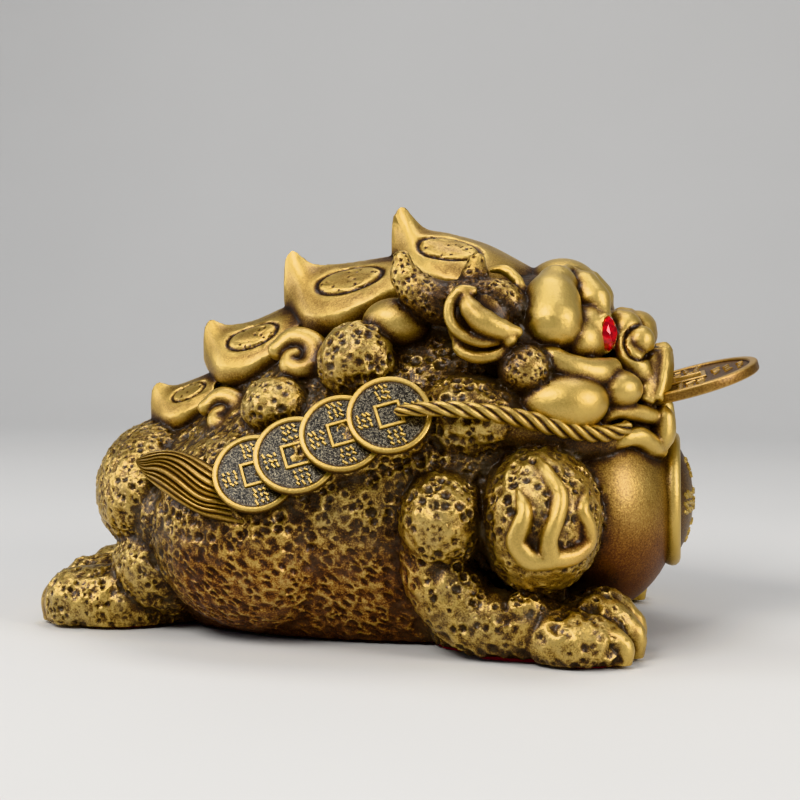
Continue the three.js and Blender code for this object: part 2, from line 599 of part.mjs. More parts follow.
// The felt under belly and feet, in overlapping ovals: middle along X and Y, half-length, half-width
const FELT_OVALS = [
  [-4, 0, 60, 25],
  [27, 29, 11, 9],
  [34, 36, 8, 6],
  [45, 43.5, 16, 3.6],
  [57, 42.5, 10, 9],
  [-70, 0, 22, 8.6],
  [-80, 14, 13, 9.6],
];

function feltPad() {
  const ovals = FELT_OVALS.map(([x, y, long, wide]) =>
    new THREE.CylinderGeometry(1, 1, 1, 14)
      .rotateX(Math.PI / 2)
      .scale(long * UNIT, wide * UNIT, FELT_T)
      .translate(x * UNIT, y * UNIT, FELT_T / 2),
  );
  return joined(bothSides(ovals).map(solid));
}

const underground = new THREE.BoxGeometry(4 * FIGURE_LENGTH, 4 * FIGURE_LENGTH, FIGURE_LENGTH);
underground.translate(0, 0, FELT_T - FIGURE_LENGTH / 2);
const hollows = [underground, mouthSlot(), ...bothSides([stone(CLEARANCE)])].map(solid);
const carving = coarser(masses().add(ornament()), CASTING_FACES, CRISP);
const toad = filled(carving.subtract(joined(hollows)));

// Materials
const brass = new THREE.MeshStandardMaterial({ color: 0xa9853b, roughness: 0.42, metalness: 1 });
const coinBrass = new THREE.MeshStandardMaterial({ color: 0xb08a52, roughness: 0.38, metalness: 1 });
const ruby = new THREE.MeshStandardMaterial({ color: 0xc00a14, roughness: 0.05, metalness: 0 });
const redFelt = new THREE.MeshStandardMaterial({ color: 0x8a0f1c, roughness: 1, metalness: 0 });

function piece(name, geometry, material) {
  const mesh = new THREE.Mesh(geometry, material);
  mesh.name = name;
  return mesh;
}

const figure = new THREE.Group();
figure.name = "money_toad";
figure.add(
  piece("toad_casting", geometryOf(toad), brass),
  piece("mouth_coin", inMouth(geometryOf(coin(MOUTH_COIN_D, MOUTH_COIN_T, true, 26))), coinBrass),
  piece("eye_stone_left", stone(), ruby),
  piece("eye_stone_right", mirrored(stone()), ruby),
  piece("felt_pad", geometryOf(coarser(feltPad(), FELT_FACES, FELT_GIVE / UNIT)), redFelt),
);

export default figure;
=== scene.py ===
"""The looks of a money toad cast in antique brass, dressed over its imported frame.

Lengths are millimetres in the row frame: +X the way the toad faces, +Z up, Y 0 its plane of symmetry. They
become metres as a mesh is made. The near side, which the camera sees, is the right one, at negative Y. Forms
that come in pairs are given for the left side, at positive Y, and mirrored.
"""

from __future__ import annotations

import logging
import math
from dataclasses import dataclass, field, replace
from enum import Enum

import bpy
import numpy as np
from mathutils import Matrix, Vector

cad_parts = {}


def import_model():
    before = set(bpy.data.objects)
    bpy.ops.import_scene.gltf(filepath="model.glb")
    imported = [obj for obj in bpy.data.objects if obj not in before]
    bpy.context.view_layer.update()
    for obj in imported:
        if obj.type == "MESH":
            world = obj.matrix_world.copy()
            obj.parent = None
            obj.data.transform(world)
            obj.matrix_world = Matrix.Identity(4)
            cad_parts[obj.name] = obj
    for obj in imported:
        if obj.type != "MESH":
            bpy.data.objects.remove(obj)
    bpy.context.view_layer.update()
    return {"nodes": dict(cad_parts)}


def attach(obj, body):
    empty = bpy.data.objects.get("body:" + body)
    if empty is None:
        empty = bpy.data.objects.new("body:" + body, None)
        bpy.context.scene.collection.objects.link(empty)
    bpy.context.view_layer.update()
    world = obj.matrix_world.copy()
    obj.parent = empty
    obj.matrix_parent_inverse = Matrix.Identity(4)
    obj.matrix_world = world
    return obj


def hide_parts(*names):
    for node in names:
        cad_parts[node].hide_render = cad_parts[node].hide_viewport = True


Array = np.ndarray
Object = bpy.types.Object
Socket = bpy.types.NodeSocket
Point = tuple[float, float, float]
MM = 0.001
BODY = "root"
CRISP_EDGE = math.radians(38)
BOTH_SIDES = ((1, 1, 1), (1, -1, 1))
LOG = logging.getLogger("money_toad")


class Skin(Enum):
    """How the surface of a form is carved."""

    PITTED = 0
    SMOOTH = 1
    GRAINED = 2
    COMBED = 3


PITTED, GRAINED, COMBED = Skin.PITTED, Skin.GRAINED, Skin.COMBED


# Shells


@dataclass
class Shell:
    """A closed surface.

    points, faces: its points, and its triangles as rows of three point numbers.
    patina, ground: for a shell laid on crisp, how dark each point is, and its share of grey coin ground.
    """

    points: Array
    faces: Array
    skin: Skin = Skin.SMOOTH
    patina_and_shade: Array | None = None
    ground: Array | None = None

    def outward(self) -> Shell:
        """The same shell with its faces turned out: a negative volume says that they point in."""
        a, b, c = (self.points[self.faces[:, k]] for k in range(3))
        return replace(self, faces=self.faces[:, ::-1]) if (a * np.cross(b, c)).sum() < 0 else self

    def mirrored(self) -> Shell:
        """The shell on the other side of the plane of symmetry."""
        return replace(self, points=self.points * (1, -1, 1), faces=self.faces[:, ::-1])

    def moved(self, turn: Array, place: Array | Point) -> Shell:
        """The shell turned by a rotation matrix, then moved to a place."""
        return replace(self, points=self.points @ np.asarray(turn).T + np.asarray(place))


def both_sides(shells: list[Shell]) -> list[Shell]:
    """Each shell and its mirror image."""
    return [one for shell in shells for one in (shell, shell.mirrored())]


def joined(shells: list[Shell]) -> Shell:
    """Several shells as one, their points and faces numbered on.

    Args:
        shells: the shells, of which one without patina or ground gets zeros.

    Returns:
        The one shell.
    """
    starts = np.cumsum([0] + [len(s.points) for s in shells])
    zeros = [np.zeros(len(s.points)) for s in shells]
    return Shell(
        np.vstack([s.points for s in shells]),
        np.vstack([s.faces + start for s, start in zip(shells, starts)]),
        patina_and_shade=np.concatenate([z if s.patina_and_shade is None else s.patina_and_shade for s, z in zip(shells, zeros)]),
        ground=np.concatenate([z if s.ground is None else s.ground for s, z in zip(shells, zeros)]),
    )


def ringed(rings: Array, skin: Skin = Skin.SMOOTH, hollow: bool = False) -> Shell:
    """Rings of points as one closed surface, each quad cut in two and each end closed by a fan.

    Args:
        rings: points by ring, place in the ring and coordinate.
        skin: how the surface is carved.
        hollow: joins the last ring to the first instead of closing the ends.

    Returns:
        The shell.
    """
    count, around = rings.shape[:2]
    row = np.arange(count if hollow else count - 1)[:, None]
    here, beside = np.arange(around), (np.arange(around) + 1) % around
    ring, after = row * around, (row + 1) % count * around
    a, b, c, d = ring + here, ring + beside, after + here, after + beside
    faces = [np.stack([a, b, c], -1).reshape(-1, 3), np.stack([b, d, c], -1).reshape(-1, 3)]
    points = rings.reshape(-1, 3)
    if not hollow:
        middle, last = count * around, (count - 1) * around
        faces.append(np.stack([np.full(around, middle), beside, here], -1))
        faces.append(np.stack([np.full(around, middle + 1), last + here, last + beside], -1))
        points = np.vstack([points, rings[0].mean(0), rings[-1].mean(0)])
    return Shell(points, np.vstack(faces), skin).outward()


def smooth_through(rows: tuple | list | Array, count: int) -> Array:
    """A smooth run through rows of numbers, in steps of equal length.

    A cubic runs from each row to the next, its slope at a row half the difference of the row's neighbours.

    Args:
        rows: the numbers to run through.
        count: how many rows to give back.

    Returns:
        The rows, the first and last as given.
    """
    p = np.asarray(rows, float)
    padded = np.vstack([2 * p[0] - p[1], p, 2 * p[-1] - p[-2]])
    t = np.linspace(0, len(p) - 1, 30 * len(p))
    i = np.minimum(t.astype(int), len(p) - 2)
    u = (t - i)[:, None]
    a, b, c, d = (padded[i + k] for k in range(4))
    fine = 0.5 * (2 * b + (c - a) * u + (2 * a - 5 * b + 4 * c - d) * u**2 + (3 * b - a - 3 * c + d) * u**3)
    run = lengths_along(fine)
    places = np.linspace(0, run[-1], count)
    return np.stack([np.interp(places, run, column) for column in fine.T], 1)


def lengths_along(path: Array) -> Array:
    """How far along the path each of its points is."""
    return np.r_[0, np.cumsum(np.linalg.norm(np.diff(path, axis=0), axis=1))]


def spread(values: tuple | list, count: int) -> Array:
    """Values at equal distances along a path, eased from one to the next: 3t² - 2t³ of the way.

    Args:
        values: the values, from start to end.
        count: how many to give back.

    Returns:
        The values along the path.
    """
    t = np.linspace(0, len(values) - 1, count)
    i = np.minimum(t.astype(int), len(values) - 2)
    u = t - i
    v = np.asarray(values, float)
    return v[i] + (v[i + 1] - v[i]) * (3 * u**2 - 2 * u**3)


def path_frames(path: Array) -> tuple[Array, Array, Array]:
    """The directions that a section along a path is set out in.

    Args:
        path: its points.

    Returns:
        At each point the tangent, the direction across, and the one off the plane that it best lies in.
    """
    tangent = np.gradient(path, axis=0)
    tangent /= np.linalg.norm(tangent, axis=1, keepdims=True)
    plane = np.linalg.svd(path - path.mean(0))[2][2]
    side = np.cross(plane, tangent)
    side /= np.linalg.norm(side, axis=1, keepdims=True)
    return tangent, side, np.cross(tangent, side)


def turned(axis: str, degrees: float) -> Array:
    """The matrix of a turn about one axis.

    Args:
        axis: x, y or z.
        degrees: how far it turns, by the right-hand rule.

    Returns:
        The matrix.
    """
    c, s = math.cos(math.radians(degrees)), math.sin(math.radians(degrees))
    return {
        "x": np.array([[1, 0, 0], [0, c, -s], [0, s, c]]),
        "y": np.array([[c, 0, s], [0, 1, 0], [-s, 0, c]]),
        "z": np.array([[c, -s, 0], [s, c, 0], [0, 0, 1]]),
    }[axis]


def round_angles(count: int) -> Array:
    """Equal angles once round, the first not repeated at the end."""
    return np.linspace(0, 2 * np.pi, count, endpoint=False)


def ramp(values: Array, start: float, end: float) -> Array:
    """From 0 at the start to 1 at the end, eased: 3t² - 2t³."""
    t = np.clip((values - start) / (end - start), 0, 1)
    return t * t * (3 - 2 * t)


def bell(values: Array, width: float) -> Array:
    """A bell curve: 1 at no distance, and e to the power -1 at the width."""
    return np.exp(-((values / width) ** 2))


# Forms


@dataclass(frozen=True)
class Ball:
    """An ellipsoid.

    halves: its half-lengths along X, Y and Z.
    pitch: how far its front is pitched up, in degrees.
    """

    middle: Point
    halves: Point
    pitch: float = 0.0
    skin: Skin = Skin.SMOOTH

    def shell(self) -> Shell:
        """Rings of middle + halves · (sin f cos a, sin f sin a, -cos f), about a millimetre apart.

        Returns:
            The ellipsoid.
        """
        around = max(20, int(2 * np.pi * max(self.halves)))
        over = max(12, int(np.pi * max(self.halves)))
        a = round_angles(around)[None]
        f = np.linspace(0.02, np.pi - 0.02, over)[:, None]
        unit = np.stack([np.sin(f) * np.cos(a), np.sin(f) * np.sin(a), -np.cos(f) + 0 * a], -1)
        return ringed((unit * self.halves) @ turned("y", -self.pitch).T + self.middle, self.skin)


@dataclass(frozen=True)
class Roll:
    """A round form along a smooth path, with rounded ends.

    points: what the path runs through.
    radii: the radius at equal distances along it.
    step, around: distance between rings, and points in a ring.
    square: power of the sine and cosine of a section; less than 1 squares it.
    cap: length of the rounded ends, as a share of the radius.
    """

    points: tuple | Array
    radii: tuple
    skin: Skin = Skin.SMOOTH
    step: float = 0.8
    around: int = 26
    square: float = 1.0
    cap: float = 0.8

    def shell(self) -> Shell:
        """Rings of path + radius (side cos a + up sin a), between ends that are half ellipsoids.

        Returns:
            The form.
        """
        length = np.linalg.norm(np.diff(np.asarray(self.points, float), axis=0), axis=1).sum()
        count = max(8, int(length / self.step))
        path, radius = smooth_through(self.points, count), spread(self.radii, count)
        tangent, side, up = path_frames(path)
        bow = np.radians([72, 50, 25])
        path = np.vstack([
            path[0] - tangent[0] * radius[0] * self.cap * np.sin(bow)[:, None],
            path,
            path[-1] + tangent[-1] * radius[-1] * self.cap * np.sin(bow[::-1])[:, None],
        ])
        radius = np.concatenate([radius[0] * np.cos(bow), radius, radius[-1] * np.cos(bow[::-1])])
        ends = ((len(bow), len(bow)), (0, 0))
        side, up = np.pad(side, ends, "edge"), np.pad(up, ends, "edge")
        angle = round_angles(self.around)[None, :, None]
        c, s = np.cos(angle), np.sin(angle)
        c, s = np.sign(c) * np.abs(c) ** self.square, np.sign(s) * np.abs(s) ** self.square
        return ringed(path[:, None] + radius[:, None, None] * (side[:, None] * c + up[:, None] * s), self.skin)


Form = Ball | Roll


def shells_of(*forms: Form) -> list[Shell]:
    """The shell of each form."""
    return [form.shell() for form in forms]


# What the skin is carved with


@dataclass(frozen=True)
class Pitting:
    """Round dimples scattered in space, so that the skin cuts them at every size up to the largest.

    cell: side of the cubes that hold one dimple each.
    radius, wall: largest radius, and width of the ridge between two dimples that touch.
    stretch, slant: how many times longer they are than wide, and how steeply their length falls forward.
    """

    cell: float
    radius: float
    wall: float = 0.7
    seed: int = 1
    stretch: float = 1.0
    slant: float = 0.0

    def at(self, points: Array) -> tuple[Array, Array]:
        """How deep and how high on a rim each point is, from 0 to 1.

        A cube of space holds one dimple, and a point asks its cube and the 26 around it for the nearest two.
        With d the distance over the radius, a bowl is 1 - d², faded where two dimples are as near.

        Args:
            points: where to look.

        Returns:
            Each point's depth in a bowl, and its height on a rim where there is no bowl.
        """
        points = points @ turned("y", -self.slant).T / (self.stretch, 1, 1)
        home = np.floor(points / self.cell).astype(np.int64)
        first, second = np.full(len(points), 9.0), np.full(len(points), 9.0)
        size = np.ones(len(points))
        for step in np.stack(np.meshgrid(*[(-1, 0, 1)] * 3, indexing="ij"), -1).reshape(-1, 3):
            cube = home + step
            draw = self.draws(cube)
            away = np.linalg.norm(points - (cube + np.stack(draw[:3], 1)) * self.cell, axis=1)
            radius = self.radius * (0.55 + 0.45 * draw[3])
            share = away / radius
            nearer = share < first
            second = np.where(nearer, first, np.minimum(second, share))
            first = np.where(nearer, share, first)
            size = np.where(nearer, radius / self.radius, size)
        gap = np.clip((second - first) * self.radius / self.wall, 0, 1)
        bowl = size * np.clip(1 - first**2, 0, 1) * gap
        rim = size * bell(first - 1.1, 0.3)
        return bowl, np.where(bowl > 0.02, 0, rim)

    def bowls(self, points: Array) -> Array:
        """How deep in a bowl each point is, from 0 to 1."""
        return self.at(points)[0]

    def draws(self, cube: Array) -> list[Array]:
        """Numbers drawn for each cube, mixed from its three numbers and the seed.

        Args:
            cube: the cubes' numbers along X, Y and Z.

        Returns:
            Four arrays of numbers from 0 to 1.
        """
        x, y, z = cube.T
        mix = (x * 73856093) ^ (y * 19349663) ^ (z * 83492791) ^ (self.seed * 2654435761)
        out = []
        for k in range(4):
            mix = (mix * 6364136223846793005 + 1442695040888963407 + k) & 0x7FFFFFFFFFFFFFFF
            out.append(((mix >> 24) & 0xFFFF) / 65535.0)
        return out


@dataclass(frozen=True)
class Groove:
    """A short groove where a slanted plane meets the skin near a point, as at the root of a claw.

    middle, normal: a point of the plane, and the way it faces.
    reach: how far from the middle the groove runs.
    """

    middle: Point
    normal: Point
    reach: float
    width: float = 0.55
    deep: float = 1.0

    def at(self, points: Array) -> Array:
        """Depth at each point: a bell curve of the distance from the plane, faded out towards the reach.

        Args:
            points: where to look.

        Returns:
            The depth in millimetres.
        """
        away = points - self.middle
        normal = np.asarray(self.normal) / np.linalg.norm(self.normal)
        near = np.clip(1.6 - 1.6 * np.linalg.norm(away, axis=1) / self.reach, 0, 1)
        return self.deep * near * bell(away @ normal, self.width)


def drift(points: Array, length: float) -> Array:
    """A slow unevenness from -1 to 1: the sum of five sines that run different ways.

    Args:
        points: where to look.
        length: about how long its waves are.

    Returns:
        The unevenness at each point.
    """
    rng = np.random.default_rng(int(length * 10))
    ways = rng.normal(size=(3, 5))
    ways *= 2 * np.pi / length * rng.uniform(0.7, 1.3, 5) / np.linalg.norm(ways, axis=0)
    return np.clip(np.sin(points @ ways + rng.uniform(0, 6.28, 5)).sum(1) / 2.6, -1, 1)


# Masses of the casting


@dataclass(frozen=True)
class Trunk:
    """The trunk, and what swells from it.

    stations: from rump to chest, place along X, height of the back, half-width at the widest line, height of
    that line, half-width of the underside and its height.
    belly, side_curve: powers that shape the flank's width and height up to the widest line.
    back_slope: power that the arch's sine and cosine are raised to, so that the back slopes like a roof.
    ball, rear_ball, lobe: the round forms between the crest's curls.
    fold, fold_end, neck: the folds that the coins and the rope lie on.
    """

    stations: tuple = (
        (-80, 46, 18, 34, 6, 24), (-70, 55, 30, 35, 11, 15), (-58, 62.5, 38, 34, 13, 1),
        (-42, 75, 45.5, 36, 19, -3), (-22, 87.5, 47.5, 40, 25.5, -3), (0, 97.5, 46.5, 45, 28, -3),
        (20, 102, 43.5, 50, 28.5, -3), (38, 99.5, 39, 56, 27, -3), (51, 88, 32, 58, 22, -3),
    )
    rings: int = 110
    belly: float = 0.8
    side_curve: float = 1.15
    back_slope: float = 1.4
    rump: Form = Ball((-70.6, 0, 38.2), (18.4, 31, 20.2), skin=PITTED)
    throat: Form = Ball((58.1, 0, 36.2), (24.2, 36, 31))
    haunch: Form = Ball((-34.5, 24, 30.5), (32, 27, 29.6), skin=PITTED)
    shoulder: Form = Ball((25.3, 33, 63.2), (16.3, 13, 12.4), skin=PITTED)
    hock: Form = Ball((-65, 14.5, 18), (16.2, 17.5, 16), 12, PITTED)
    ball: Form = Ball((-6.5, 29, 77.9), (11, 9.5, 11.4), skin=PITTED)
    rear_ball: Form = Ball((-29.2, 28.5, 65.1), (10.2, 9.5, 8.7), skin=PITTED)
    lobe: Form = Ball((3.4, 22.9, 88.6), (9.6, 7.9, 7.1))
    fold: Form = Roll(
        ((-34.6, 40, 44.2), (-20.1, 40, 49.8), (-7.5, 38.5, 55.5), (7, 37, 60.7)),
        (9, 10.6, 11, 10.8), PITTED, around=60,
    )
    fold_end: Form = Ball((30, 38.6, 62.6), (9.6, 8, 7), 6, PITTED)
    neck: Form = Roll(
        ((34, 37.4, 62.4), (42, 34.6, 60.8), (51, 31, 58.6), (60.2, 26, 57.4)),
        (6.8, 7.2, 7, 5.6), GRAINED, around=44,
    )

    def trunk(self) -> Shell:
        """Rings across the trunk: a flank up to the widest line, and an arch over the back.

        Up the flank the width grows as a sine raised to belly, the height as the share raised to side_curve.

        Returns:
            The trunk's shell.
        """
        x, top, half, waist, under, low = smooth_through(self.stations, self.rings).T[:, :, None]
        f = np.linspace(0, 1, 28, endpoint=False)[None]
        flank_y = under + (half - under) * np.sin(f * np.pi / 2) ** self.belly
        flank_z = low + (waist - low) * f**self.side_curve
        a = np.linspace(0, np.pi / 2, 46)[None]
        arch_y = half * np.cos(a) ** self.back_slope
        arch_z = waist + (top - waist) * np.sin(a) ** self.back_slope
        y, z = np.hstack([flank_y, arch_y]), np.hstack([flank_z, arch_z])
        y, z = np.hstack([y, -y[:, -2::-1]]), np.hstack([z, z[:, -2::-1]])
        return ringed(np.stack([x + 0 * y, y, z], -1), PITTED)

    def shells(self) -> list[Shell]:
        """Trunk, rump, throat and the paired swells.

        Returns:
            Their shells, both sides.
        """
        paired = shells_of(self.haunch, self.shoulder, self.hock, self.ball, self.rear_ball, self.lobe)
        paired += shells_of(self.fold, self.fold_end, self.neck)
        return [self.trunk(), *shells_of(self.rump, self.throat), *both_sides(paired)]


@dataclass(frozen=True)
class Legs:
    """The two front legs and the single rear one.

    rear_spacing, rear_end: how far apart the rear toes end, and where along X.
    side_toe_shorter: how much sooner the outer ones end.
    rear_claw: forward of a toe's end and in height, what its claw runs through.
    toes: each front toe and the root of its claw.
    tongues: the flame on the knee, as places along X and Z and radii; flame_lift: how far they stand off it.
    """

    rear_spacing: float = 19
    rear_end: float = -94.5
    side_toe_shorter: float = 1.6
    rear_toe_radii: tuple = (10.4, 11.4, 10.2)
    ankle: Form = Roll(((-48.3, 0, 12.9), (-62.5, 0, 11), (-76.7, 0, 10)), (16, 13, 11), PITTED, around=80)
    rear_claw: tuple = ((-3, 11), (-5.6, 7), (-5.6, 1.5))
    claw_radii: tuple = (3.6, 3.9, 3.4)
    knee: Ball = Ball((44.4, 38, 37), (16.9, 21, 20.2), skin=PITTED)
    elbow: Form = Ball((19, 42, 37), (12.3, 14.5, 13.7), skin=PITTED)
    forearm: Form = Roll(
        ((15.6, 40, 28.6), (19, 42, 20), (27.6, 43.5, 11), (40.4, 44.5, 8.7), (53.6, 45, 7.5)),
        (9.8, 10.4, 9.7, 8.8, 7.6), PITTED, around=56,
    )
    wrist: Form = Ball((27.3, 30, 4.9), (13.4, 12, 8.6), skin=PITTED)
    bump: Form = Ball((41.3, 47.5, 14.5), (6.1, 5, 4.3), skin=PITTED)
    toes: tuple = (
        (Ball((54.5, 48.2, 6), (14.1, 8.9, 8.6), -4, PITTED), (66.9, 49.5, 5.2)),
        (Ball((59, 41, 8.5), (12.7, 6.8, 8.8), -4, PITTED), (69.9, 41, 7)),
        (Ball((60.7, 34.5, 9.5), (10.8, 6.4, 8.8), -4, PITTED), (69.8, 34.5, 8.5)),
    )
    claw_foot: float = 1.5
    front_claw_radii: tuple = (2.8, 3, 2.6)
    flame_lift: float = 0.7
    tongues: tuple = (
        (((48.5, 29.6), (43.4, 29.8), (40, 34), (41.2, 38.6), (42, 42.2), (40, 47.2)),
         (2.8, 3, 2.8, 2.5, 1.9, 0.5)),
        (((48.5, 29.6), (48.4, 35.2), (50.3, 40.8), (51, 46), (48.2, 50.6), (44.4, 55)),
         (3, 2.3, 2.2, 2.1, 1.7, 0.5)),
        (((48.5, 29.8), (53.8, 30), (57.7, 33), (57.9, 38), (56.6, 42), (57.6, 46.8)),
         (2.8, 2.5, 2.4, 2.2, 1.7, 0.5)),
    )
    bend: Groove = Groove((30.5, 52, 36), (1, 0, 0.12), 13, 0.5, 0.8)

    def rear_toe_end(self, side: int) -> tuple[float, float]:
        """Where a rear toe ends along X and Y: the middle one is 0, the outer ones -1 and 1."""
        return self.rear_end + abs(side) * self.side_toe_shorter, side * self.rear_spacing

    def rear(self) -> list[Shell]:
        """Three toes that spread from the ankle, and their claws.

        Returns:
            The rear leg's shells.
        """
        made = []
        for side in (-1, 0, 1):
            end, y = self.rear_toe_end(side)
            toe = ((-62, y * 0.5, 6.5), (-78, y * 0.9, 6.5), (end, y, 6.3))
            claw = tuple((end + along, y, height) for along, height in self.rear_claw)
            made += shells_of(Roll(toe, self.rear_toe_radii, PITTED, around=60), Roll(claw, self.claw_radii))
        return [*made, self.ankle.shell()]

    def on_knee(self, x: float, z: float) -> Point:
        """A point that stands off the knee's outer face by the flame's lift.

        Args:
            x: its place along X.
            z: its height.

        Returns:
            The point.
        """
        (mid_x, mid_y, mid_z), (half_x, half_y, half_z) = self.knee.middle, self.knee.halves
        left = 1 - ((x - mid_x) / half_x) ** 2 - ((z - mid_z) / half_z) ** 2
        return (x, mid_y + half_y * math.sqrt(max(left, 0)) + self.flame_lift, z)

    def front(self) -> list[Shell]:
        """One front leg: knee with its flame, elbow, forearm and three clawed toes.

        Returns:
            The leg's shells.
        """
        made = shells_of(self.knee, self.elbow, self.forearm, self.wrist, self.bump)
        for toe, (x, y, z) in self.toes:
            claw = ((x - 2, y, z + 3), (x + 0.6, y, z), (x + 0.4, y, self.claw_foot))
            made += shells_of(toe, Roll(claw, self.front_claw_radii))
        for line, radii in self.tongues:
            made += shells_of(Roll([self.on_knee(x, z) for x, z in line], radii, step=0.6))
        return made

    def grooves(self) -> list[Groove]:
        """The grooves at the roots of the claws and across the bend of the front leg.

        Returns:
            Those of one side.
        """
        made = [Groove((x - 1.8, y, z + 1.5), (1, 0, 0.45), 6.5) for _, (x, y, z) in self.toes]
        for side in (0, 1):
            end, y = self.rear_toe_end(side)
            made.append(Groove((end - 1.2, y, 9), (-1, 0, 0.5), 7.5))
        return [*made, self.bend]

    def shells(self) -> list[Shell]:
        """All three legs."""
        return [*self.rear(), *both_sides(self.front())]


@dataclass(frozen=True)
class Scroll:
    """One plate of the crest.

    sections: run forward from the tip: place along X, height of ridge, half-width of rim, height of rim.
    pad: middle of its oval pad along X, share of the way down the slope, half-length and half-width.
    curl: middle, reach and radii of the curled lobe at its front, if it has one.
    swell: how far a slope bows out, as a share of its half-width.
    curl_out: distance of the curl from its middle as it turns, in reaches.
    curl_start, curl_turn, curl_lean: the angle it starts at, how far it turns, and how far it leans out.
    body_halves: half-lengths of the swell that carries the curl, the last in reaches.
    """

    sections: tuple
    deep: float
    pad: tuple[float, float, float, float]
    curl: tuple | None = None
    swell: float = 0.12
    curl_out: tuple = (1.5, 1.05, 0.95, 0.75, 0.25)
    curl_start: float = 165
    curl_turn: float = 400
    curl_lean: float = 35
    body_halves: Point = (4.7, 5, 1.4)
    body_pitch: float = -24

    def slope(self, half: Array, ridge: Array, rim: Array, share: Array) -> tuple[Array, Array]:
        """Across and height of the slope at a share of the way down: a straight line plus a sine swell."""
        out = self.swell * half * np.sin(np.pi * share)
        return half * share + 0.5 * out, ridge + (rim - ridge) * share + out

    def plate(self) -> Shell:
        """The plate: on each ring the two slopes, a round lip and an underside that draws in.

        Returns:
            The plate's shell.
        """
        x, ridge, half, rim = smooth_through(self.sections, 70).T[:, :, None]
        y, z = self.slope(half, ridge, rim, np.linspace(0, 1, 26)[None])
        a = np.linspace(0.2, np.pi / 2, 10)[None]
        lip_y, lip_z = half * (0.8 + 0.2 * np.cos(a)), rim - self.deep * np.sin(a)
        y, z = np.hstack([y, lip_y]), np.hstack([z, lip_z])
        y, z = np.hstack([y, -y[:, :0:-1]]), np.hstack([z, z[:, :0:-1]])
        return ringed(np.stack([x + 0 * y, y, z], -1))

    def on_slope(self, x: float, share: float) -> Array:
        """A point on the slope.

        Args:
            x: its place along X.
            share: share of the way down.

        Returns:
            The point.
        """
        along, *columns = zip(*self.sections)
        ridge, half, rim = (np.interp(x, along, column) for column in columns)
        y, z = self.slope(half, ridge, rim, np.array(share))
        return np.array([x, float(y), float(z)])

    def pad_frame(self) -> tuple[Array, Array, Array, Array]:
        """Where the oval pad lies.

        Returns:
            Its middle, and its directions forward, across and out.
        """
        x, share, long, _ = self.pad
        front = self.on_slope(x + 0.7 * long, share) - self.on_slope(x - 0.7 * long, share)
        front /= np.linalg.norm(front)
        down = self.on_slope(x, share + 0.3) - self.on_slope(x, share - 0.3)
        out = np.cross(front, down)
        out /= np.linalg.norm(out)
        return self.on_slope(x, share), front, np.cross(out, front), out

    def lobe(self) -> list[Shell]:
        """The lobe that curls in on itself: a spiral whose distance from its middle shrinks as it turns.

        Returns:
            The curl and the swell that carries it, if it has one.
        """
        if self.curl is None:
            return []
        (x, y, z), reach, radii = self.curl
        t = np.linspace(0, 1, 9)
        out = reach * spread(self.curl_out, len(t))
        angle = np.radians(self.curl_start - self.curl_turn * t)
        u, v = out * np.cos(angle), out * np.sin(angle)
        lean = math.radians(self.curl_lean)
        path = np.stack([x + u, y - v * math.sin(lean) + 1.2 * t, z + v * math.cos(lean)], 1)
        long, wide, tall = self.body_halves
        body = Ball((x + 1.55 * reach, y + 1.2, z - 0.4 * reach), (long, wide, tall * reach), self.body_pitch)
        return shells_of(Roll(path, radii, step=0.5, around=30), body)


@dataclass(frozen=True)
class Crest:
    """The four plates along the back."""

    scrolls: tuple = (
        Scroll(
            ((-74.1, 67.3, 1, 63.3), (-71.9, 69.5, 4, 61.2), (-67.1, 68.6, 9.2, 60.3), (-61, 70.5, 12, 61.5),
             (-52.4, 74.2, 11.5, 66.2)),
            4.6, (-61, 0.5, 5.6, 3.2), ((-46.6, 18.5, 61.9), 4.5, (2.4, 3.4, 3.6, 3, 2)),
        ),
        Scroll(
            ((-57.8, 85.9, 1, 81.6), (-55.5, 88.4, 4.5, 78.4), (-50.4, 86.8, 11, 75.4),
             (-42.3, 88.2, 14.5, 75.4), (-34.2, 91.7, 14, 79.5), (-27.1, 94.1, 12, 84)),
            5.4, (-41.3, 0.5, 8, 4.6), ((-24.2, 21.5, 78.6), 5, (2.8, 3.8, 4, 3.2, 2.2)),
        ),
        Scroll(
            ((-33.4, 105.8, 1, 99.1), (-30.6, 108.7, 4.2, 95.1), (-24.6, 104.8, 12, 90.5),
             (-16, 104.9, 16.5, 90.6), (-6, 106.3, 17, 94.4), (3, 107.9, 14, 99)),
            6.0, (-12.4, 0.5, 10, 5.4),
        ),
        Scroll(
            ((-1.4, 118.1, 1.2, 111.9), (1.9, 121.4, 5, 108.9), (8, 115.3, 13, 104.3), (16, 113.4, 18, 101.3),
             (26.9, 110.2, 19, 100), (39.8, 103.5, 13, 95.6)),
            7.0, (16.5, 0.48, 9.4, 5.2),
        ),
    )

    def shells(self) -> list[Shell]:
        """Plates and curled lobes."""
        lobes = [lobe for scroll in self.scrolls for lobe in scroll.lobe()]
        return [*(scroll.plate() for scroll in self.scrolls), *both_sides(lobes)]


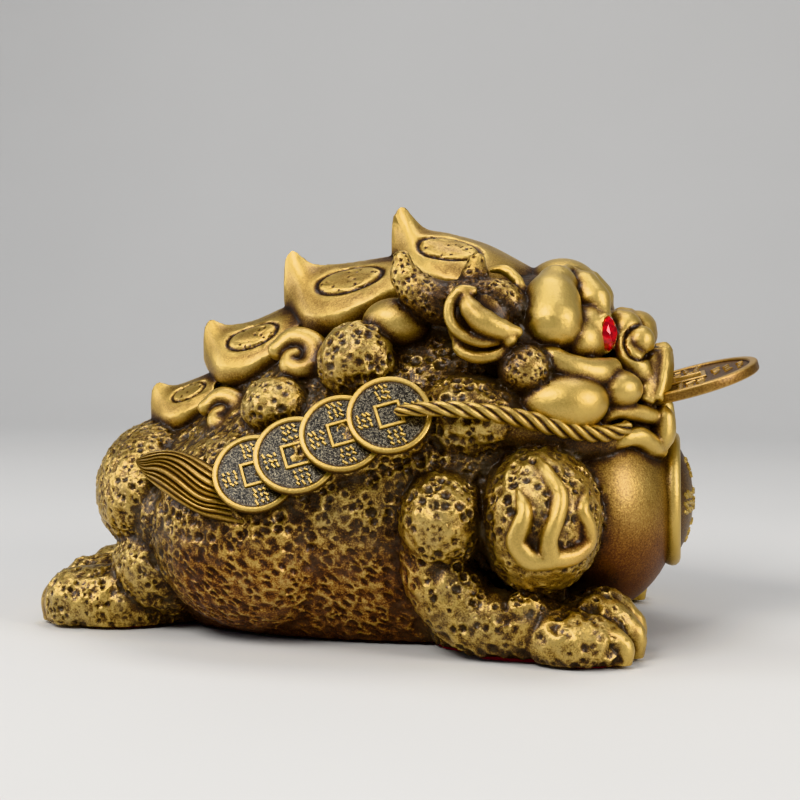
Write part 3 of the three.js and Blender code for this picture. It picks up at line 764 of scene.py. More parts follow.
@dataclass(frozen=True)
class EyeStone:
    """A faceted stone, pointed above and below, set in a socket that faces out and forward.

    facing: how far it is turned out, in degrees.
    facets: for each ring from the back to the table, place along the depth, size and turn in facets.
    wall, wall_back, wall_front: how far the bezel reaches out, back and forward.
    """

    middle: Point = (62, 21.8, 86)
    facing: float = 33
    width: float = 6.8
    height: float = 9.6
    deep: float = 5.0
    sides: int = 12
    clearance: float = 0.3
    facets: tuple = ((-0.5, 0.8, 0), (-0.12, 1.0, 0), (0.02, 1.0, 0), (0.2, 0.78, 0.5), (0.34, 0.48, 0))
    wall: float = 0.95
    wall_back: float = -3.5
    wall_front: float = 0.35

    def rings(self, grow: float = 0.0) -> Array:
        """Rings from the back to the table, each an oval (cos a, sin a) at its own size.

        Its width is drawn in by 0.22 |sin a| to the power 1.5 |cos a|, which points it above and below.

        Args:
            grow: how much larger the outline is all round.

        Returns:
            Points by ring, place in the ring and coordinate.
        """
        place, size, shift = np.array(self.facets).T[:, :, None]
        a = (np.arange(self.sides) + shift) * 2 * np.pi / self.sides
        y, z = np.cos(a), np.sin(a)
        pinch = 1 - 0.22 * np.abs(z) ** 1.5 * np.abs(y)
        y, z = y * (self.width / 2 + grow) * size * pinch, z * (self.height / 2 + grow) * size
        return np.stack([place * self.deep + 0 * a, y, z], -1)

    def set_in(self, rings: Array) -> Shell:
        """Rings about the stone's own middle, as a shell in the toad's left eye."""
        return ringed(rings).moved(turned("z", self.facing), self.middle)

    def between(self, grow: float, back: float, front: float) -> Shell:
        """The stone's outline, grown and carried from a place behind its girdle to one in front."""
        girdle = self.rings(grow)[1]
        return self.set_in(np.stack([girdle + (back, 0, 0), girdle + (front, 0, 0)]))

    def bezel(self) -> Shell:
        """The low wall round the stone, which the socket is cut in."""
        return self.between(self.wall, self.wall_back, self.wall_front)

    def seat(self) -> Shell:
        """The socket: the stone's outline grown by the clearance, open to the front."""
        return self.between(self.clearance, -0.5 * self.deep, self.deep)

    def build(self) -> list[Object]:
        """Both stones, flat between their edges.

        Returns:
            The left and the right one.
        """
        stone = self.set_in(self.rings())
        made = [mesh_of(stone, "ruby_left"), mesh_of(stone.mirrored(), "ruby_right")]
        for obj in made:
            obj.data.shade_flat()
        return made


@dataclass(frozen=True)
class Head:
    """Skull, face, ears and antlers, each form under its own name.

    nostril_middle, nostril_halves, nostril_groove: middle along X and Z and half-lengths of the oval that the
    groove round the nostril follows, and the groove's width in shares of them.
    """

    skull: Form = Ball((40.5, 0, 81.8), (23, 33, 20.4), skin=GRAINED)
    forehead: Form = Ball((48, 0, 95.2), (11.8, 12.5, 11.2))
    nose: Form = Ball((65, 0, 84.8), (10.3, 11.5, 7.1))
    nose_tip: Form = Ball((69.4, 0, 86.6), (5.6, 8.5, 5))
    nose_root: Form = Ball((61, 0, 86.5), (6, 11, 5.3))
    upper_jaw: Form = Ball((66.4, 0, 75.5), (12.9, 17, 7.5))
    lower_jaw: Form = Ball((64, 0, 57.9), (14.9, 24, 10.4), skin=GRAINED)

    brow: Form = Roll(
        ((50.2, 9.5, 103.8), (47.9, 14.6, 100.2), (46.4, 20.8, 95.4), (46.9, 27.6, 88.6)),
        (1.3, 5.8, 8.1, 8.2), around=60, cap=0.92,
    )
    lid: Form = Roll(
        ((51.4, 8.5, 102.6), (54.9, 12, 98.3), (57.8, 14.8, 94.2), (60, 18, 90.6)),
        (1.8, 4.6, 5, 2.8), around=40,
    )
    inner_eyeball: Form = Ball((55.4, 17.5, 86), (7.9, 9.4, 7.7))
    outer_eyeball: Form = Ball((54, 20.8, 83.9), (7.5, 9.2, 7.4))
    stone: EyeStone = EyeStone()
    under_eye: Form = Roll(
        ((42.6, 33.4, 82.2), (47.4, 33.8, 80), (52.6, 32.9, 77), (58, 30.2, 75.7), (63, 25, 76.7)),
        (1.4, 3.3, 4.1, 4.2, 3.2), around=40,
    )

    nostril: Form = Ball((70.5, 14.3, 83.6), (4.2, 4.7, 4.5))
    nostril_root: Form = Ball((66.4, 10.6, 86), (5, 6.4, 6))
    whisker_fold: Form = Roll(
        ((64.8, 10.5, 89.8), (64.7, 14.4, 85), (66.8, 17, 80), (69.6, 17.6, 76.3), (71, 16.8, 74.2)),
        (2.8, 3, 3.7, 4.2, 3.5), around=40,
    )
    upper_lip: Form = Roll(
        ((75.6, -0.6, 77), (75, 6, 75.6), (73, 12, 72.4), (69.6, 18, 69)), (4.4, 4.3, 4, 3.2)
    )
    fang: Form = Roll(
        ((76.6, 9.5, 80.3), (76.4, 12, 76.6), (75.6, 15.4, 71.4), (74.6, 17.6, 67.6)),
        (2.9, 3.2, 3.2, 2.8), around=44, square=0.5, cap=0.2,
    )
    fang_root: Form = Roll(
        ((74, 11.5, 79.4), (73.6, 14, 76), (72.8, 17.4, 71), (72, 19.2, 67.4)),
        (2.7, 2.9, 2.9, 2.4), around=44, square=0.6, cap=0.3,
    )
    small_cheek: Form = Ball((64.2, 25, 71.1), (7.4, 7.2, 5.4))
    rear_cheek: Form = Ball((46, 33.4, 67.2), (6.9, 8.8, 7.2))
    cheek: Form = Ball((49.7, 32.2, 67.8), (12.9, 10.6, 8.6), 3)
    gland: Form = Ball((40.2, 35, 76.8), (7.5, 7.3, 7), skin=COMBED)
    mouth_corner: Form = Roll(
        ((60.4, 28.4, 60.8), (61.6, 28.8, 63.6), (65, 27.4, 65.4), (69.6, 23, 64.6), (75, 17.6, 62.8)),
        (1, 2.1, 2.5, 2.5, 2.2), around=32,
    )
    lower_lip: Form = Roll(
        ((62.4, 27.6, 55.2), (66.4, 27, 57.6), (70.6, 24, 58), (74, 19.6, 55.2), (76.4, 15, 53.2)),
        (1.5, 2.4, 2.9, 3, 2.3), around=32,
    )
    lip_tip: Form = Roll(
        ((75.4, 16.6, 53.6), (77, 16.8, 58), (77.2, 16.4, 62.4), (76.4, 15.2, 67)),
        (2.5, 3.4, 3.1, 0.8), square=0.8, cap=0.4, around=32,
    )

    ear_bed: Form = Ball((27.6, 30.4, 89.6), (9.2, 6.4, 10))
    ear_rim: Form = Roll(
        ((26.4, 36, 98), (22.8, 36.6, 98), (20.2, 37, 94.4), (20.5, 38, 89.8), (24, 38.8, 86.1),
         (28.8, 38.9, 84.4), (33, 38.4, 84.4)),
        (1.3, 1.6, 1.7, 1.7, 1.7, 1.6, 1), step=0.5,
    )
    ear_petal: Form = Roll(
        ((24.2, 36.8, 97.2), (25.4, 38, 93.8), (28.6, 38.8, 90.3), (33.2, 38.3, 87.9), (38.4, 36.4, 87)),
        (1.5, 3, 3.6, 3.1, 1.6), step=0.5, around=36,
    )
    ear_fold: Form = Roll(
        ((21.6, 37, 85.6), (22.8, 38, 82.2), (27.4, 38.6, 80.2), (32.4, 38, 80.8), (35.8, 37, 83)),
        (1.2, 1.6, 1.7, 1.6, 1.2), step=0.5,
    )
    ear_ball: Form = Ball((36, 37.4, 85.2), (2.3, 2.6, 2.3))

    rear_branch: Form = Roll(
        ((5.2, 25.6, 106.6), (6.2, 26.4, 102.4), (9.2, 27, 98.3), (14.4, 27.6, 95), (20.6, 28, 93.4)),
        (2.7, 4.5, 5.6, 6.2, 6), COMBED, around=48,
    )
    front_branch: Form = Roll(
        ((25.9, 24.2, 106.2), (25.6, 25.2, 102.4), (25.3, 26.4, 97.8), (26.4, 27, 94)),
        (2.5, 4, 5.1, 5.6), COMBED, around=44,
    )
    antler_beam: Form = Roll(
        ((15.7, 27.6, 94.2), (25.4, 28, 95), (33, 28, 94.8), (37.4, 26.6, 91)),
        (5.8, 6.2, 6.2, 4.8), COMBED, around=48,
    )
    antler_fold: Form = Roll(
        ((29.6, 20.5, 103.4), (33.6, 21.5, 103.2), (37.2, 23.4, 100.2), (38.6, 25, 96.6)), (1, 1.6, 1.6, 1)
    )

    nostril_middle: tuple[float, float] = (70.5, 83.6)
    nostril_halves: tuple[float, float] = (4.3, 4.6)
    nostril_groove: float = 0.13

    def middle_forms(self) -> list[Shell]:
        """The forms on the plane of symmetry."""
        noses = (self.nose, self.nose_tip, self.nose_root)
        return shells_of(self.skull, self.forehead, *noses, self.upper_jaw, self.lower_jaw)

    def eye(self) -> list[Shell]:
        """Brow, eyelid, eyeball with the bezel of its stone, and the roll under it."""
        over = shells_of(self.brow, self.lid, self.inner_eyeball, self.outer_eyeball)
        return [*over, self.stone.bezel(), self.under_eye.shell()]

    def face(self) -> list[Shell]:
        """Nostril, lips, cheeks and gland of one side.

        Returns:
            Their shells.
        """
        nose = shells_of(self.nostril, self.nostril_root, self.whisker_fold)
        lip = shells_of(self.upper_lip, self.fang, self.fang_root)
        cheeks = shells_of(self.small_cheek, self.rear_cheek, self.cheek, self.gland)
        return [*nose, *lip, *cheeks, *shells_of(self.mouth_corner, self.lower_lip, self.lip_tip)]

    def ear_and_antler(self) -> list[Shell]:
        """The ear with its petal, fold and ball, and the branched antler laid back over it."""
        ear = shells_of(self.ear_bed, self.ear_rim, self.ear_petal, self.ear_fold, self.ear_ball)
        return [*ear, *shells_of(self.rear_branch, self.front_branch, self.antler_beam, self.antler_fold)]

    def nostril_depth(self, points: Array) -> Array:
        """Depth of the groove round the back and the underside of the nostril: a bell curve about an oval.

        Args:
            points: where to look.

        Returns:
            The depth, from 0 to 1.
        """
        (mid_x, mid_z), (half_x, half_z) = self.nostril_middle, self.nostril_halves
        u, v = (points[:, 0] - mid_x) / half_x, (points[:, 2] - mid_z) / half_z
        ring, angle = np.hypot(u, v), np.degrees(np.arctan2(v, u)) % 360
        here = ramp(np.abs(points[:, 1]), 8, 10) * ramp(angle, 80, 120) * ramp(angle, 335, 300)
        return here * bell(ring - 1, self.nostril_groove)

    def shells(self) -> list[Shell]:
        """The whole head."""
        return [*self.middle_forms(), *both_sides([*self.eye(), *self.face(), *self.ear_and_antler()])]


# Crisp carving, laid on the masses


@dataclass(frozen=True)
class Strokes:
    """Generic raised strokes in rows, like reeds.

    root: how far a stroke's foot is sunk in the ground.
    taper: how much sooner its top ends, at each end.
    foot, top: half-widths at the foot and at the top, in widths.
    slant, slant_spread: the angle it stands at in degrees, and how far that strays.
    """

    width: float = 0.55
    rise: float = 0.48
    root: float = 0.3
    taper: float = 0.16
    foot: float = 0.75
    top: float = 0.42
    slant: float = 58
    slant_spread: float = 22

    def bars(self, middles: Array, angles: Array, lengths: Array, base: float) -> Shell:
        """Small bars with sloping sides: eight corners each, the upper four drawn in.

        Args:
            middles, angles, lengths: each bar's middle in XY, its turn in radians, and its length.
            base: height of the ground.

        Returns:
            The bars as one shell.
        """
        corner = np.array([(-1, -1), (1, -1), (1, 1), (-1, 1)], float)
        halves = ((lengths / 2, self.width * self.foot), (lengths / 2 - self.taper, self.width * self.top))
        flat = [corner * np.stack([long, np.full_like(long, wide)], 1)[:, None] for long, wide in halves]
        u, v = np.moveaxis(np.concatenate(flat, 1), -1, 0)
        c, s = np.cos(angles)[:, None], np.sin(angles)[:, None]
        flat = np.stack([u * c - v * s, u * s + v * c], -1) + middles[:, None]
        height = np.repeat((base - self.root, base + self.rise), 4)[None, :, None]
        points = np.concatenate([flat, height + np.zeros(flat.shape[:2] + (1,))], -1).reshape(-1, 3)
        sides = [(k, (k + 1) % 4, 4 + k) for k in range(4)]
        sides += [((k + 1) % 4, 4 + (k + 1) % 4, 4 + k) for k in range(4)]
        one = np.array([*sides, (4, 5, 6), (4, 6, 7), (0, 2, 1), (0, 3, 2)])
        faces = (one[None] + 8 * np.arange(len(middles))[:, None, None]).reshape(-1, 3)
        return Shell(points, faces).outward()

    def group(self, centre: tuple[float, float], size: float, seed: int, base: float) -> Shell:
        """Three rows of three slanted strokes in a square.

        Args:
            centre, size: of the square.
            seed: which scatter it is.
            base: height of the ground.

        Returns:
            The strokes.
        """
        rng = np.random.default_rng(seed)
        row = np.repeat((-1, 0, 1), 3)
        place = np.tile((-1, 0, 1), 3) * 0.33 + rng.uniform(-0.06, 0.06, 9)
        middles = np.stack([place, row * 0.36 + rng.uniform(-0.04, 0.04, 9)], 1) * size
        angles = np.radians(self.slant + rng.uniform(-self.slant_spread, self.slant_spread, 9))
        return self.bars(middles + centre, angles, size * rng.uniform(0.24, 0.42, 9), base)


@dataclass(frozen=True)
class CashCoin:
    """A coin with a raised rim, a framed square hole and four groups of strokes, lying in XY.

    through: the square goes right through, and both faces are struck.
    relief, grey: how far the ground lies under the rim, and how grey it is.
    hole, frame: side of the square, and width of the frame round it.
    """

    diameter: float
    thick: float
    through: bool = False
    rim: float = 1.35
    relief: float = 0.55
    hole: float = 5.4
    frame: float = 0.9
    around: int = 56
    grey: float = 1.0
    strokes: Strokes = Strokes()

    def rings(self) -> tuple[Array, Array, Array]:
        """Rings of the struck face, from the hole out to the edge, each between a square and a circle.

        Returns:
            The rings, and the darkness and the share of ground of their points.
        """
        radius, half = self.diameter / 2, self.thick / 2
        ground, edge = half - self.relief, radius - self.rim
        inner, outer, bevel = self.hole / 2, self.hole / 2 + self.frame, 0.18
        # size, share of circle, height, darkness, ground
        rows = [
            (inner, 0, half - 0.25, 0.1, 0), (inner + bevel, 0, half, 0, 0), (outer - bevel, 0, half, 0, 0),
            (outer, 0, half - 0.2, 0.1, 0), (outer + 0.05, 0.02, ground, 0.8, 0.6),
            (outer + 0.5, 0.2, ground, 0.35, 1), (edge - 1.0, 1, ground, 0.3, 1),
            (edge - 0.3, 1, ground, 0.8, 0.6), (edge, 1, half - 0.15, 0.15, 0),
            (edge + 0.25, 1, half + 0.05, 0, 0), (radius - 0.45, 1, half + 0.05, 0, 0),
            # The dark outer edge is patina with painted shade, for the line where one coin lies over the next.
            (radius - 0.1, 1, half - 0.2, 0.12, 0), (radius, 1, half - 0.55, 0.45, 0),
        ]
        a = round_angles(self.around)[None]
        square = 1 / np.maximum(np.abs(np.cos(a)), np.abs(np.sin(a)))
        size, circle, height, dark, share = (np.array(column, float)[:, None] for column in zip(*rows))
        reach = size * (square * (1 - circle) + circle)
        points = np.stack([reach * np.cos(a), reach * np.sin(a), height + 0 * a], -1)
        return points, dark + 0.3 * (1 - self.grey) * share + 0 * a, self.grey * share + 0 * a

    def disc(self) -> Shell:
        """The struck disc. One that isn't pierced has its square closed by a floor painted dark, as shade in
        the hole.

        Returns:
            The disc, with its patina and ground.
        """
        top, dark, share = self.rings()
        if self.through:
            shell = ringed(np.concatenate([top, top[::-1] * (1, 1, -1)]), hollow=True)
            dark, share = (np.concatenate([rows, rows[::-1]]).ravel() for rows in (dark, share))
            return replace(shell, patina_and_shade=dark, ground=share)
        floor = top[:1].copy()
        floor[..., 2] = self.thick / 2 - self.relief - 0.1
        base = top[-1:] * (1, 1, -1)
        # Painted shade: the floor of the square is nearly black.
        dark = np.r_[0 * dark[0] + 0.9, dark.ravel(), dark[-1] + 0.5, 0.45, 1.0]
        share = np.r_[0 * share[0] + 1, share.ravel(), share[-1], 1.0, 0.0]
        return replace(ringed(np.concatenate([floor, top, base])), patina_and_shade=dark, ground=share)

    def struck(self, seed: int) -> Shell:
        """The disc with its four groups of strokes, midway between frame and rim.

        Args:
            seed: which scatter of strokes it has.

        Returns:
            The coin, lying in XY about its middle.
        """
        reach = 0.5 * (self.hole / 2 + self.frame + self.diameter / 2 - self.rim)
        size = 0.72 * (self.diameter / 2 - self.rim - self.hole / 2 - self.frame)
        ground = self.thick / 2 - self.relief
        places = [(reach, 0), (0, reach), (-reach, 0), (0, -reach)]
        marks = [self.strokes.group(place, size, seed + k, ground) for k, place in enumerate(places)]
        if self.through:
            marks += [mark.moved(turned("x", 180), (0, 0, 0)) for mark in marks]
        return joined([self.disc(), *marks])


@dataclass(frozen=True)
class CoinString:
    """The string of coins on a flank, laid like shingles, and the twisted rope from it to the mouth.

    lean, shingle, turn: how far a coin leans back on the flank, turns its front out, and turns in its plane.
    seed, seed_step: the first coin's scatter of strokes, and the step to the next coin's.
    pitch: length of the rope in which it turns once.
    strand, valley: in rope radii, the radius of a strand, and how near to the middle the grooves go.
    """

    coin: CashCoin = CashCoin(22.8, 2.4)
    middles: tuple = ((-31.1, 48.4, 49), (-19.8, 48.8, 54.2), (-7.5, 47.8, 60.1), (5.1, 46.6, 65.1))
    lean: float = 33
    shingle: float = 7
    turn: float = -17
    seed: int = 40
    seed_step: int = 7
    rope: tuple = (
        (6.6, 48.6, 66.5), (16.1, 49.2, 67.4), (27.1, 47.4, 66.9), (39.5, 44, 64.7), (50.1, 40, 61.8),
        (58.4, 35.4, 60), (64.4, 31, 60), (68.4, 27.6, 61.6),
    )
    rope_radii: tuple = (1.5, 2.1, 2.3, 2.5, 2.6, 2.6, 2.4, 2.0)
    rings: int = 118
    strands: int = 4
    pitch: float = 17.6
    strand: float = 0.414
    valley: float = 0.68

    def coins(self) -> list[Shell]:
        """Each coin, turned to lean on the flank and moved to its place.

        Returns:
            The coins of one side.
        """
        lay = turned("z", -self.shingle) @ turned("x", self.lean - 90) @ turned("z", self.turn)
        seeds = (self.seed + self.seed_step * k for k in range(len(self.middles)))
        return [self.coin.struck(seed).moved(lay, middle) for seed, middle in zip(seeds, self.middles)]

    def twisted(self) -> Shell:
        """The rope: in section the outer bounds of touching circles, turned once in each pitch.

        At an angle b from a strand of radius s, and with o = 1 - s, they are o cos b + √(s² - (o sin b)²) out.

        Returns:
            The rope, dark between the strands.
        """
        path = smooth_through(self.rope, self.rings)
        run = lengths_along(path)
        radius = spread(self.rope_radii, self.rings)[:, None]
        _, side, up = path_frames(path)
        a = round_angles(8 * self.strands)[None]
        sector = 2 * np.pi / self.strands
        near = (a + 2 * np.pi * run[:, None] / self.pitch) % sector - sector / 2
        off = 1 - self.strand
        reach = off * np.cos(near) + np.sqrt(np.maximum(self.strand**2 - (off * np.sin(near)) ** 2, 0))
        reach = np.maximum(reach, self.valley)
        ends = np.minimum(1, np.sqrt(np.minimum(run, run[-1] - run) / 1.2 + 0.02))[:, None]
        r = (radius * reach * ends)[..., None]
        across = side[:, None] * np.cos(a)[..., None] + up[:, None] * np.sin(a)[..., None]
        dark = 0.08 + 0.87 * np.clip((0.84 - reach) / (0.84 - self.valley), 0, 1)
        return replace(ringed(path[:, None] + r * across), patina_and_shade=np.r_[dark.ravel(), 0.5, 0.5])

    def shells(self) -> list[Shell]:
        """Coins and rope of one flank."""
        return [*self.coins(), self.twisted()]


@dataclass(frozen=True)
class HairTuft:
    """The tuft of hair that sweeps over a haunch, between an upper and a lower edge.

    rise, swell: how far a lock stands out, and how far the tuft bows out as a whole.
    sway: how far the locks wave across the tuft, as a share of its width.
    sunk, root: how far its front end dives under the skin, and how deep its underside lies.
    """

    upper: tuple = ((-68.9, 31, 50), (-62, 37, 53.2), (-54.1, 41, 53.9), (-46.6, 44, 51.8), (-38.6, 47, 47.7))
    lower: tuple = ((-68, 33, 48.5), (-60.4, 41.5, 44.2), (-52, 46.8, 40.2), (-43.4, 50, 37), (-34, 51.5, 35.9))
    locks: int = 9
    lock_points: int = 6
    rings: int = 36
    rise: float = 1.3
    swell: float = 2.4
    sway: float = 0.1
    sunk: float = 1.6
    root: float = 12

    def shell(self) -> Shell:
        """Rings across the tuft: locks that rise as the absolute sine of their number, on a sine swell.

        v runs from one edge to the other, and t from the tip to the front end, which dives under the skin.

        Returns:
            The tuft, dark between its locks, with the walls under its edges half dark as painted shade.
        """
        a, b = smooth_through(self.upper, self.rings), smooth_through(self.lower, self.rings)
        across = b - a
        out = np.cross(np.gradient(a, axis=0), across)
        out /= np.linalg.norm(out, axis=1, keepdims=True)
        v = np.linspace(0, 1, self.locks * self.lock_points + 1)[None]
        t = np.linspace(0, 1, self.rings)[:, None]
        number = self.locks * v + 0.3 * np.sin(2 * np.pi * 1.5 * v) ** 2 * np.sin(np.pi * v)
        lock = np.abs(np.sin(np.pi * number)) ** 0.7
        grown = np.minimum(1, 0.25 + 2.2 * t)
        bow = self.swell * np.sin(np.pi * v) ** 0.8 * np.minimum(1, 0.2 + 2 * t)
        dive = ramp(t, 0.84, 1)
        height = (0.2 + self.rise * lock * grown + bow) * (1 - dive) - self.sunk * dive
        wave = np.sin(2.7 * np.pi * t + 2.2 * v) * np.minimum(1, 3 * t)
        shift = v + self.sway * wave * np.sin(np.pi * v)
        face = a[:, None] + across[:, None] * shift[..., None] + out[:, None] * height[..., None]
        under = [(edge - self.root * out)[:, None] for edge in (b, a)]
        # The walls under the edges are painted half dark, as shade under the raised tuft.
        dark = np.concatenate([np.clip(1.25 - 1.3 * lock, 0.24, 1) + 0 * t, np.full((self.rings, 2), 0.5)], 1)
        return replace(ringed(np.concatenate([face, *under], 1)), patina_and_shade=np.r_[dark.ravel(), 0.5, 0.5])


@dataclass(frozen=True)
class BellyDisc:
    """The domed disc on the belly, facing forward, with a rim and generic strokes.

    lean: how far its face is turned up, in degrees.
    profile: share of the radius, rise and darkness, from the back to the middle of the dome.
    marks_out, mark_size: how far from the middle its groups of strokes lie, and how large each is.
    """

    diameter: float = 38.5
    middle: Point = (81.4, 0, 37.8)
    lean: float = 1
    profile: tuple = (
        (0.86, -9, 0.8), (0.9, -6, 0.8), (0.985, -2.6, 0.5), (1.0, -1.6, 0.1), (0.99, -0.4, 0), (0.95, 0.5, 0),
        (0.9, 0.85, 0), (0.85, 0.6, 0.3), (0.82, -0.1, 0.95), (0.79, 0.2, 0.85), (0.72, 1.15, 0.6),
        (0.6, 2.3, 0.55), (0.45, 3.3, 0.52), (0.3, 4.05, 0.5), (0.15, 4.4, 0.5), (0.04, 4.5, 0.5),
    )
    around: int = 72
    marks_out: float = 9.2
    mark_size: float = 6.6
    seed: int = 90
    strokes: Strokes = Strokes(0.7, 0.6)

    def shells(self) -> list[Shell]:
        """The lathed disc, and strokes that follow its dome.

        Returns:
            The two, in their place.
        """
        share, rise, dark = (np.array(column, float) for column in zip(*self.profile))
        r = share * self.diameter / 2
        a = round_angles(self.around)[None]
        rings = np.stack([r[:, None] * np.cos(a), r[:, None] * np.sin(a), rise[:, None] + 0 * a], -1)
        disc = replace(ringed(rings), patina_and_shade=np.r_[np.repeat(dark, self.around), 1, 0.3])
        quarters = [k * math.pi / 2 for k in range(4)]
        places = [(0, 0)] + [(self.marks_out * math.cos(q), self.marks_out * math.sin(q)) for q in quarters]
        groups = [self.strokes.group(at, self.mark_size, self.seed + k, 0) for k, at in enumerate(places)]
        marks = joined(groups)
        away = np.hypot(marks.points[:, 0], marks.points[:, 1])
        order = np.argsort(r)
        lift = np.interp(away, r[order], rise[order])
        marks = replace(marks, points=marks.points + np.stack([0 * away, 0 * away, lift], 1))
        return [shell.moved(turned("y", 90 - self.lean), self.middle) for shell in (disc, marks)]


@dataclass(frozen=True)
class MouthCoin:
    """The coin held between the lips, tilted front up and a little askew.

    tilt, roll: how far its front is up, and how far it leans to one side, in degrees.
    reach: how far forward its front edge comes; height: of its middle.
    """

    coin: CashCoin = CashCoin(
        40, 2.8, through=True, rim=2.2, hole=7.4, frame=1.4, around=96, grey=0, strokes=Strokes(0.8, 0.42)
    )
    tilt: float = 16
    roll: float = 4
    reach: float = 103.9
    height: float = 71.4
    clearance: float = 0.3
    seed: int = 11

    def lay(self) -> tuple[Array, Point]:
        """How the coin is turned, and where its middle is.

        Returns:
            The matrix of its turn, and its middle.
        """
        t = math.radians(self.tilt)
        x = self.reach - self.coin.diameter / 2 * math.cos(t) - self.coin.thick / 2 * math.sin(t)
        return turned("y", -self.tilt) @ turned("x", self.roll), (x, 0, self.height)

    def slot(self) -> Shell:
        """The space that the coin lies in: a cylinder one clearance larger all round.

        Returns:
            The cylinder, in its place.
        """
        r, h = self.coin.diameter / 2 + self.clearance, self.coin.thick / 2 + self.clearance
        a = round_angles(self.coin.around)
        rings = np.stack([np.stack([r * np.cos(a), r * np.sin(a), 0 * a + z], 1) for z in (-h, h)])
        return ringed(rings).moved(*self.lay())

    def build(self) -> Object:
        """The coin as a piece.

        Returns:
            The piece, in its place.
        """
        obj = mesh_of(self.coin.struck(self.seed).moved(*self.lay()), "coin_in_mouth")
        obj.data.set_sharp_from_angle(angle=CRISP_EDGE)
        return obj


# The casting as one mesh


class Hollows:
    """How shut in each place is: the share of solid around it, ground included; shade is painted from it.

    Cells of space that hold skin stop a flood from outside, and what it doesn't reach is solid. A moving mean
    then blurs the solid twice along each axis.
    """

    def __init__(self, points: Array, cell: float = 1.25, pad: int = 14) -> None:
        """Floods the space around the points.

        Args:
            points: of the skin, close enough together to mark each of its cells.
            cell: side of a cell.
            pad: cells left free all round.
        """
        self.cell, self.low = cell, points.min(0) - pad * cell
        shape = ((points.max(0) - self.low) / cell).astype(int) + pad
        wall = np.zeros(shape, bool)
        i, j, k = ((points - self.low) / cell).astype(int).T
        wall[i, j, k] = True
        wall = wall | self.grown(wall)
        outside = np.zeros(shape, bool)
        outside[0], outside[-1], outside[:, :, -1] = True, True, True
        count = 0
        while count != outside.sum():
            count = outside.sum()
            for _ in range(6):
                outside = (outside | self.grown(outside)) & ~wall
        self.solid = (~outside).astype(np.float32)
        # The ground counts as solid, so the painted shade deepens near the floor.
        self.solid[:, :, : int(-self.low[2] / cell)] = 1

    @staticmethod
    def grown(marks: Array) -> Array:
        """The marks moved one cell each way, together."""
        return np.any([np.roll(marks, step, axis) for axis in range(3) for step in (-1, 1)], 0)

    def around(self, points: Array, reach: float) -> Array:
        """The share of solid around each point.

        Args:
            points: where to look.
            reach: about how far to look.

        Returns:
            The shares, from 0 to 1.
        """
        block, half = self.solid, max(1, int(reach / self.cell))
        for axis in (0, 1, 2, 0, 1, 2):
            total = np.cumsum(block, axis)
            place = np.arange(block.shape[axis])
            ahead = np.take(total, np.minimum(place + half, len(place) - 1), axis)
            block = (ahead - np.take(total, np.maximum(place - half - 1, 0), axis)) / (2 * half + 1)
        i, j, k = np.clip(((points - self.low) / self.cell).astype(int), 0, np.array(block.shape) - 1).T
        return block[i, j, k]


class SkinMap:
    """Which skin each place has: a block of cells that holds the skin of the nearest form."""

    def __init__(self, shells: list[Shell], cell: float = 1.3) -> None:
        """Marks the cells of each shell's points, then spreads the marks to their neighbours three times.

        Args:
            shells: the forms; where two meet, the later one holds.
            cell: side of a cell.
        """
        everything = np.vstack([shell.points for shell in shells])
        self.cell, self.low = cell, everything.min(0) - 4 * cell
        shape = ((everything.max(0) - self.low) / cell + 5).astype(int)
        self.block = np.full(shape, -1, np.int8)
        for shell in shells:
            i, j, k = ((shell.points - self.low) / cell).astype(int).T
            self.block[i, j, k] = shell.skin.value
        for _ in range(3):
            for axis in range(3):
                for step in (-1, 1):
                    self.block = np.where(self.block < 0, np.roll(self.block, step, axis), self.block)

    def share(self, points: Array, skin: Skin) -> Array:
        """1 at each point that has that skin, otherwise 0."""
        i, j, k = np.clip(((points - self.low) / self.cell).astype(int), 0, np.array(self.block.shape) - 1).T
        return (self.block[i, j, k] == skin.value).astype(float)


class Surface:
    """A mesh's points and edges as arrays, with the sums over neighbours that shape and patina need."""

    def __init__(self, mesh: bpy.types.Mesh) -> None:
        """Reads a mesh in millimetres.

        Args:
            mesh: the mesh.
        """
        self.mesh = mesh
        self.points, self.edges = np.empty((len(mesh.vertices), 3)), np.empty((len(mesh.edges), 2), np.int32)
        mesh.vertices.foreach_get("co", self.points.ravel())
        mesh.edges.foreach_get("vertices", self.edges.ravel())
        self.points /= MM
        self.degree = np.maximum(np.bincount(self.edges.ravel(), minlength=len(self.points)), 1)

    def smoothed(self, values: Array, times: int) -> Array:
        """The values moved half way to the mean of their neighbours, again and again.

        Args:
            values: a number or a row for each point.
            times: how often.

        Returns:
            The smoothed values.
        """
        (a, b), n = self.edges.T, len(values)
        for _ in range(times):
            columns = values.reshape(n, -1).T
            sums = [np.bincount(a, c[b], n) + np.bincount(b, c[a], n) for c in columns]
            mean = (np.stack(sums, 1) / self.degree[:, None]).reshape(values.shape)
            values = 0.5 * values + 0.5 * mean
        return values

    def normals(self) -> Array:
        """Each point's normal.

        Returns:
            The normals.
        """
        self.write()
        out = np.empty_like(self.points)
        self.mesh.vertex_normals.foreach_get("vector", out.ravel())
        return out

    def write(self) -> None:
        """Puts the points back into the mesh."""
        self.mesh.vertices.foreach_set("co", (self.points * MM).ravel())
        self.mesh.update()


def placed(obj: Object) -> Object:
    """The object, put into the scene."""
    bpy.context.scene.collection.objects.link(obj)
    return obj


